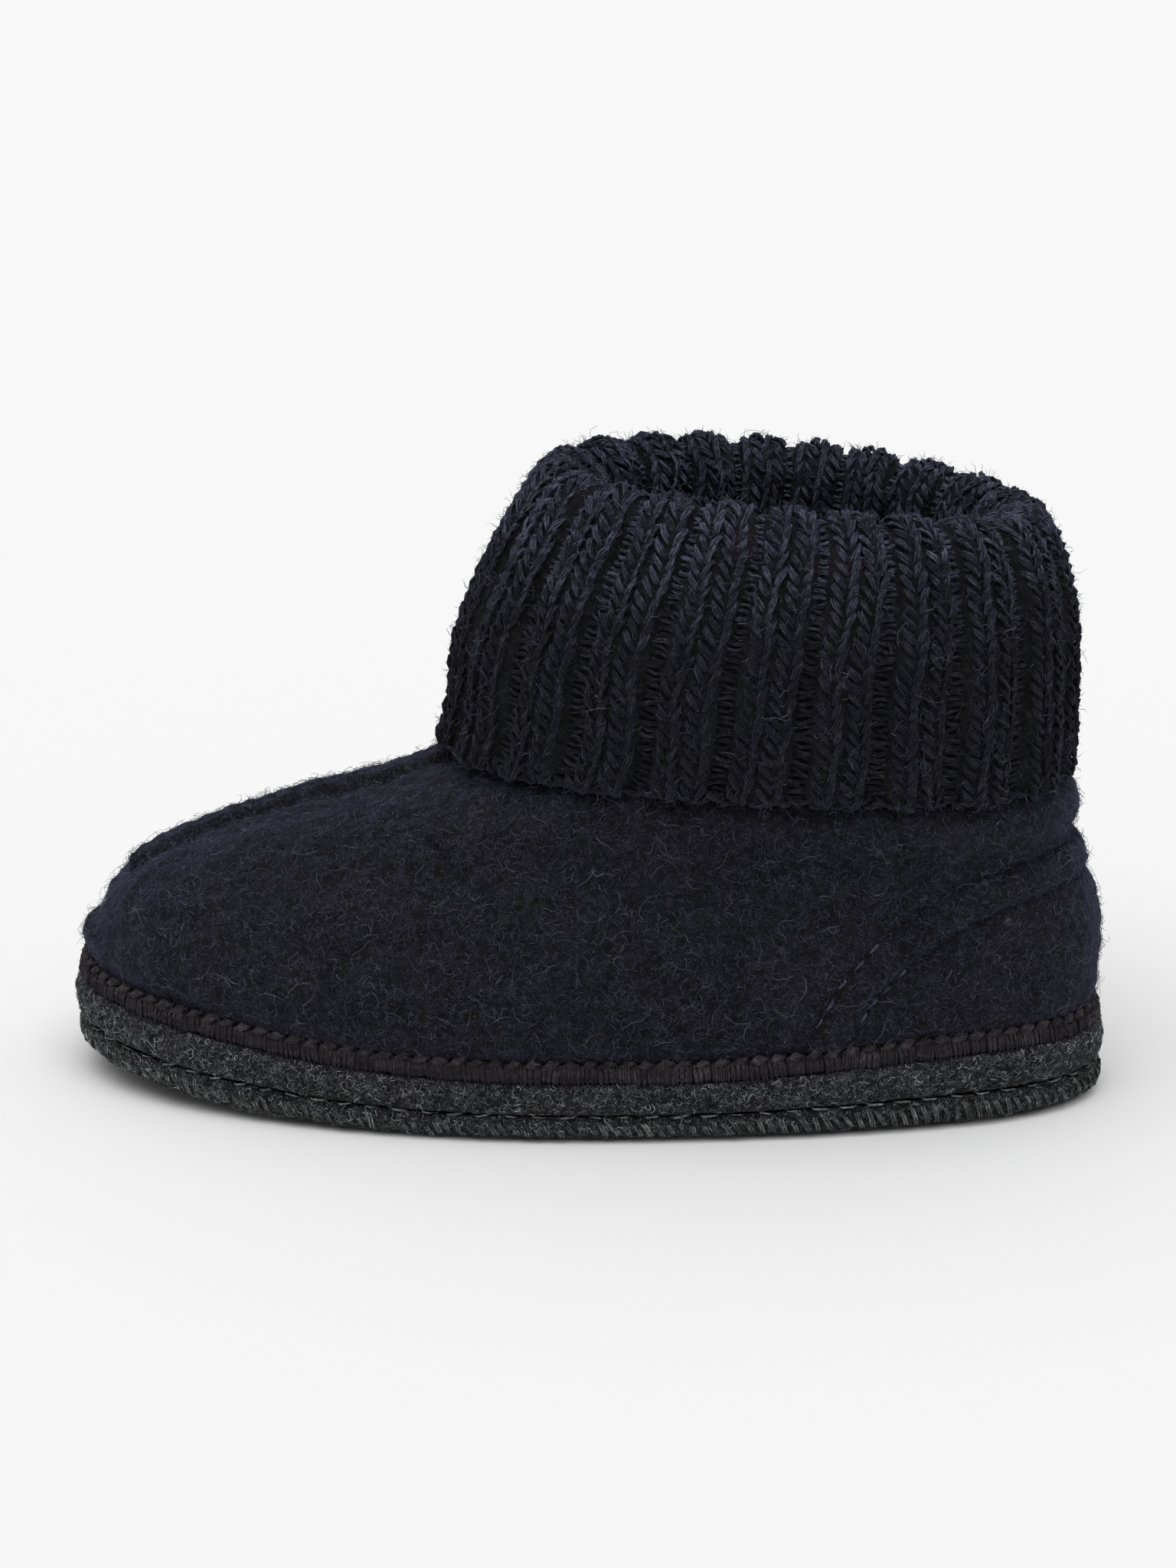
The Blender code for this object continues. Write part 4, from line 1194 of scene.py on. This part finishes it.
# Profiles: how far inside the overhang, and the share of the sole's height
LOWER_PROFILE = [
    (4.6, 0.0), (2.4, 0.10 * LOW_TOP), (1.1, 0.36 * LOW_TOP), (0.6, 0.66 * LOW_TOP), (0.8, 0.88 * LOW_TOP),
    (1.5, LOW_TOP),
]
UPPER_PROFILE = [
    (1.4, MID_LOW), (0.5, MID_LOW + 0.12 * MID_TALL), (0.0, MID_LOW + 0.45 * MID_TALL),
    (0.3, MID_LOW + 0.85 * MID_TALL), (1.2, 1.0),
]
grey_felt = felt_finish(
    "grey_melange_felt", (0.0020, 0.0022, 0.0026), (0.0092, 0.0099, 0.0114), (0.280, 0.292, 0.308),
    0.85, 0.05, GREY_SHEEN, GREY_CURLS)
grey_fibre = fibre_finish("grey_melange_fibre", (0.0035, 0.0042, 0.0050), (0.690, 0.712, 0.720), GREY_SHEEN)
# Each layer: its cells across underneath, its slot and solid, its share of curls at the heel, and a seed
for name, profile, relief, under, slot, node, at_heel, seed in (
    ("sole_lower_felt", LOWER_PROFILE, lower_relief, 10, "grey_felt_lower", "outsole", 0.3, 41),
    ("sole_upper_felt", UPPER_PROFILE, upper_relief, 2, "grey_felt_upper", "midsole", 1.0, 42),
):
    table = np.array([(SOLE_OVERHANG - inside, share) for inside, share in profile])
    smooth_rows = rows_at(table, np.linspace(0, len(table) - 1, PROFILE_ROWS)).T
    points, faces, cover = sole_layer(smooth_rows, relief, under, 2)
    layer_mesh = mesh_of(points, faces)
    add_piece(name, layer_mesh, grey_felt, slot, node)
    cover = cover * (at_heel + (1 - at_heel) * smoothstep(45.0, 85.0, points[:, 0]))
    fuzz(name + "_curls", slot, layer_mesh, grey_fibre, CURL_PATHS, SOLE_CURLS, 1.15, seed, cover)

# %% Slanted loops on the lower edge
LOOP_PITCH, LOOP_OUT, LOOP_SHARE = 1.95, 2.4, 0.235
LOOP_YARN = (0.18, 0.23, 0.18)
LOOP_BOW = np.array([
    (-1.10, 2.15, -0.75), (-0.60, 1.25, 0.12), (-0.08, 0.0, 0.26), (0.40, -1.2, 0.06), (0.85, -2.0, -0.9),
])
loop_count = round(edge_length(LOOP_OUT) / LOOP_PITCH)
plan, sideways = edge(edge_turns(LOOP_OUT, loop_count), SOLE_OVERHANG - 0.75)
sunk = 0.30 - 0.40 * smoothstep(50.0, 85.0, plan[:, 0])
above = LOOP_SHARE * (SOLE_HEIGHT + cup(plan[:, 0]))
loop_places = plan + (lift(plan[:, 0]) + above)[:, None] * UP + sunk[:, None] * sideways
loop_sizes = np.stack((np.ones(loop_count), above / above.max() - 0.08, np.ones(loop_count)), -1)
loops = [
    [strand(LOOP_BOW + (shift, 0, depth), LOOP_YARN, 4) for shift, depth in spots]
    for spots in (((-0.40, 0.0), (0.06, 0.05)), ((-0.28, 0.04), (0.24, -0.06)))
]
grey_yarn = yarn_finish(
    "grey_edge_yarn", (0.012, 0.013, 0.014), (0.090, 0.094, 0.096), (0.50, 0.51, 0.50),
    0.85, 0.08, GREY_SHEEN)
loop_rows = (loop_places, np.cross(UP, sideways), sideways, loop_sizes)
sew("sole_edge_loops", "grey_felt_lower", loops, grey_yarn, loop_rows, 0.20, 0.16, 43)
print("sole edge:", loop_count, "slanted loops")

# %% [markdown]
# ## The insole
#
# A felt sock lies inside, and only a little of it shows down the cuff. It is the same kind of layer,
# softly dished, with its own paler finish.

# %% The felt sock
INSOLE_RIM = -FELT_WALL - 0.45
sock_top = SOLE_HEIGHT + INSOLE_THICKNESS
sock_profile = [(out, height / SOLE_HEIGHT) for out, height in (
    (INSOLE_RIM, SOLE_HEIGHT + GAP), (INSOLE_RIM, SOLE_HEIGHT + 0.75 * INSOLE_THICKNESS),
    (INSOLE_RIM - 1.0, sock_top), (INSOLE_RIM - 4.0, sock_top - 0.25),
)]
points, faces, _ = sole_layer(sock_profile, lambda ring, share: 0.0 * ring[:, 0], 2, 8)
sock_felt = felt_finish(
    "grey_sock_felt", (0.022, 0.022, 0.023), (0.055, 0.055, 0.057), (0.16, 0.16, 0.165),
    0.5, 0.1, GREY_SHEEN, GREY_CURLS)
add_piece("insole_sock", mesh_of(points, faces), sock_felt, "grey_felt_sock", "insole")

# %% [markdown]
# ## The brown overcast stitches
#
# Brown yarn binds the upper to the sole. Each stitch shows a puff of yarn lying along the top edge and
# a bundle of threads wrapping down from it. Both are sewn round the shoe at an even pitch over a plain
# core, coloured darker than the yarn: painted shade that keeps the gaps between the threads dark.

# %% The core of the welt
WELT_SECTION = [(0.35, 0.3), (1.7, 0.3), (2.0, 1.5), (1.6, 2.7), (0.9, 3.2), (0.35, 3.1)]
CORE_COLUMNS, CORE_OUT = 320, 1.5


def above_sole(turn, out, extra):
    """Points over the sole's top, so far out from the feather line, and the way out in plan."""
    plan, sideways = edge(turn, out)
    height = lift(plan[:, 0]) + SOLE_HEIGHT + cup(plan[:, 0]) + extra
    return plan + height[:, None] * UP, sideways


core_turns = edge_turns(CORE_OUT, CORE_COLUMNS)
core = np.array([above_sole(core_turns, out, extra)[0] for out, extra in WELT_SECTION])
# The core is coloured darker than the yarn: painted shade in the gaps between the threads.
painted_shade_core = felt_finish(
    "brown_yarn_core_painted_shade", (0.006, 0.0048, 0.0052), (0.016, 0.013, 0.0145), (0.05, 0.045, 0.048),
    0.3, 0.05, BROWN_SHEEN, NAVY_CURLS)
add_piece("welt_core", tube_mesh(core), painted_shade_core, "brown_yarn", "welt")

# %% Puffs and wraps
STITCH_OUT = 2.0
PUFF = np.array([
    (-1.95, -0.75, -0.9), (-1.15, 0.10, -0.08), (0.0, 0.55, 0.18), (1.15, 0.15, -0.08), (1.95, -0.65, -0.9),
])
WRAP = np.array([(-0.10, 2.1, -0.5), (-0.03, 0.85, 0.14), (0.03, -0.65, 0.20), (0.10, -2.0, -0.3)])
welt_length = edge_length(STITCH_OUT)
stitch_count = round(welt_length / WELT_PITCH)
stitch_turns = edge_turns(STITCH_OUT, stitch_count)
brown_yarn = yarn_finish(
    "brown_overcast_yarn", (0.0108, 0.0091, 0.0110), (0.0335, 0.0285, 0.0350), (0.114, 0.099, 0.118),
    0.85, 0.08, BROWN_SHEEN)
# The wraps are the same brown yarn painted darker: painted shade on the threads below the puffs.
painted_shade_yarn = yarn_finish(
    "brown_wrapping_yarn_painted_shade", (0.0090, 0.0076, 0.0091), (0.0275, 0.0235, 0.0285), (0.094, 0.082, 0.097),
    0.85, 0.06, BROWN_SHEEN)
brown_fibre = fibre_finish("brown_yarn_fibre", (0.015, 0.013, 0.015), (0.220, 0.200, 0.220), BROWN_SHEEN)


def puff(arches, slant):
    """Threads that arch over the edge one inside the other, like a small dome."""
    made = []
    for high, depth, thick in arches:
        path = PUFF * (1.0, high, 1.0) + (0.0, 0.0, depth)
        path[:, 1] += slant * path[:, 0]
        made.append(strand(path, (0.8 * thick, thick, 0.8 * thick), 5))
    return made


def wraps(places, thickness):
    """Threads that wrap down over the edge, side by side."""
    made = []
    for x in places:
        thick = thickness * (1 - 0.25 * math.sin(7.0 * x))
        made.append(strand(WRAP + (x, 0, 0.12 * math.sin(5.0 * x)), (thick, thick), 4))
    return made


# %% Sewing the welt
puffs = [
    puff([(1.45, -0.16, 0.33), (0.70, 0.10, 0.34), (-0.05, 0.18, 0.34), (-0.90, 0.04, 0.32)], 0.20),
    puff([(1.35, -0.10, 0.34), (0.55, 0.14, 0.36), (-0.25, 0.14, 0.33), (-1.05, -0.04, 0.31)], 0.34),
]
thread_places = np.linspace(-1.42, 1.42, 7)
uneven_places = thread_places + (0.16, -0.16, 0.12, -0.14, 0.16, -0.06, -0.12)
bundles = [wraps(thread_places, 0.24), wraps(uneven_places, 0.27)]
# Each row of stitches: how far out and above the sole's top it lies, how far it tilts up, and a seed
for name, shapes, finish, out, extra, tilt, seed in (
    ("welt_puffs", puffs, brown_yarn, 1.45, 3.25, 0.45, 51),
    ("welt_wraps", bundles, painted_shade_yarn, 2.10, 1.45, 0.10, 52),
):
    at, sideways = above_sole(stitch_turns, out, extra)
    row = (at, np.cross(UP, sideways), unit(sideways + tilt * UP), PLAIN)
    made = sew(name, "brown_yarn", shapes, finish, row, 0.16, 0.12, seed)
    fuzz(name + "_fuzz", "brown_yarn", made, brown_fibre, FIBRE_PATHS, WELT_HAIRS, 0.42, seed + 2)
print("welt:", stitch_count, "stitches of %.2f mm" % (welt_length / stitch_count))

# %% [markdown]
# ## Sewing thread at the heel and in the sole's groove
#
# Two rows of plied navy thread hold the heel seam down. They sink into the felt at the back and lie on
# it lower down. A grey thread runs in the groove between the layers of the sole. The rows follow the
# seam path, so each stitch lies across its own dimple in the felt.

# %% Heel threads
DASH = [(-1.35, 0.02, -0.7), (-0.75, 0.03, 0.10), (0.0, 0.0, 0.20), (0.75, -0.03, 0.10), (1.35, 0.0, -0.7)]
thread = yarn_finish(
    "navy_sewing_thread", (0.014, 0.014, 0.022), (0.060, 0.061, 0.092), (0.26, 0.26, 0.36),
    0.45, 0.15, NAVY_SHEEN)
points, out, aside, run = heel_line
numbers = np.searchsorted(run, np.arange(HEEL_PITCH / 2, run[-1] - 2.0, HEEL_PITCH))
ahead = unit(np.gradient(points, axis=0))
from_end = np.minimum(run, run[-1] - run)[numbers]
sunk = -0.02 - 0.95 * smoothstep(20.0, 31.0, from_end)
thread_rows = []
for hand in (-1, 1):
    beside = hand * stitch_row(from_end)[:, None] * aside[numbers] + sunk[:, None] * out[numbers]
    thread_rows.append((points[numbers] + beside, ahead[numbers], out[numbers]))
dashes = [plied(DASH, (0.15, 0.18, 0.15), 5, 0.9)]
sew("heel_seam_threads", "navy_felt_heel_seam", dashes, thread, (*joined(thread_rows), PLAIN), 0.06, 0.08, 61)

# %% Groove threads
GROOVE_PITCH, GROOVE_RISE, GROOVE_OUT = 4.9, 4.95, 2.30
GROOVE_DASH = [(-1.7, 0.14, -0.7), (-0.8, -0.04, 0.2), (0.8, 0.05, 0.2), (1.7, -0.14, -0.7)]
groove_count = round(welt_length / GROOVE_PITCH)
plan, sideways = edge(edge_turns(STITCH_OUT, groove_count), GROOVE_OUT)
at = plan + sole_rise(plan[:, 0], GROOVE_RISE / SOLE_HEIGHT)[:, None] * UP
grey_thread = yarn_finish(
    "grey_groove_thread", (0.040, 0.042, 0.043), (0.180, 0.186, 0.188), (0.55, 0.56, 0.56),
    0.8, 0.1, GREY_SHEEN)
groove_dashes = [[strand(GROOVE_DASH, (0.18, 0.18), 4)]]
groove_rows = (at, np.cross(UP, sideways), sideways, PLAIN)
sew("sole_groove_threads", "grey_felt_upper", groove_dashes, grey_thread, groove_rows, 0.20, 0.3, 62)

# %% [markdown]
# ## Floor, light and camera
#
# The shoe was photographed from its outer side, a little from above, in even light on a pale ground.
# A dome of light that is brighter overhead gives that without edges: the floor stays one tone, tops are
# lighter than sides, and the knitting shades itself.

# %% Floor and light
FLOOR_REACH, FLOOR_TONE = 6, 0.835
DOME_LOW, DOME_HIGH = 0.23, 0.82
SUN_HEIGHT, SUN_SIDE = math.radians(70.0), math.radians(8.0)
SUN_ENERGY, SUN_WIDTH = 1.55, math.radians(60.0)
floor_mesh = bpy.data.meshes.new("floor")
corners = [(x * FLOOR_REACH, y * FLOOR_REACH, 0) for x, y in ((-1, -1), (1, -1), (1, 1), (-1, 1))]
floor_mesh.from_pydata(corners, [], [(0, 1, 2, 3)])
floor_finish = bpy.data.materials.new("pale_floor")
floor_finish.use_nodes = True
floor_shader = floor_finish.node_tree.nodes["Principled BSDF"]
floor_shader.inputs["Base Color"].default_value = (FLOOR_TONE, FLOOR_TONE, FLOOR_TONE, 1.0)
floor_shader.inputs["Roughness"].default_value = 0.9
floor_shader.inputs["Specular IOR Level"].default_value = 0.0
floor_mesh.materials.append(floor_finish)
floor = show(bpy.data.objects.new("floor", floor_mesh))

sky = bpy.data.worlds.new("soft_dome")
bpy.context.scene.world = sky
sky.use_nodes = True
tree = sky.node_tree
direction = put(tree, "ShaderNodeTexCoord").outputs["Generated"]
height = put(tree, "ShaderNodeSeparateXYZ", {"Vector": direction}).outputs["Z"]
dome = tree.nodes["Background"]
dome.inputs["Color"].default_value = (1.0, 1.0, 1.0, 1.0)
tree.links.new(remap(tree, height, 0.0, 0.95, DOME_LOW, DOME_HIGH), dome.inputs["Strength"])


def direction_to(side, rise):
    """The way from the shoe towards something beside its outer side, so far round and so high."""
    return Vector((math.sin(side) * math.cos(rise), math.cos(side) * math.cos(rise), math.sin(rise)))


def aim(made, axis, way):
    made.rotation_mode = "QUATERNION"
    made.rotation_quaternion = way.to_track_quat(axis, "Y")
    return show(made)


sun = bpy.data.lights.new("soft_key", "SUN")
sun.energy, sun.angle = SUN_ENERGY, SUN_WIDTH
aim(bpy.data.objects.new("soft_key", sun), "Z", direction_to(SUN_SIDE, SUN_HEIGHT))
bpy.context.scene.view_settings.view_transform = "Standard"
print("light: a dome from", DOME_LOW, "to", DOME_HIGH, "and a wide sun of", SUN_ENERGY)

# %% Camera
TARGET = Vector((-0.0003, 0.0, 0.0542))
YAW, ELEVATION, DISTANCE = math.radians(3.0), math.radians(16.8), 0.88
PHOTO_HEIGHT, FOCAL_PIXELS, SENSOR = 2048, 6470, 36.0
lens = bpy.data.cameras.new("photo_camera")
lens.sensor_width = SENSOR
lens.lens = SENSOR * FOCAL_PIXELS / PHOTO_HEIGHT
lens.clip_start, lens.clip_end = 0.01, 50.0
camera = bpy.data.objects.new("photo_camera", lens)
backwards = direction_to(-YAW, ELEVATION)
camera.location = TARGET + backwards * DISTANCE
bpy.context.scene.camera = aim(camera, "-Z", -backwards)
print("camera: %.0f mm lens, %.2f m away" % (lens.lens, DISTANCE))
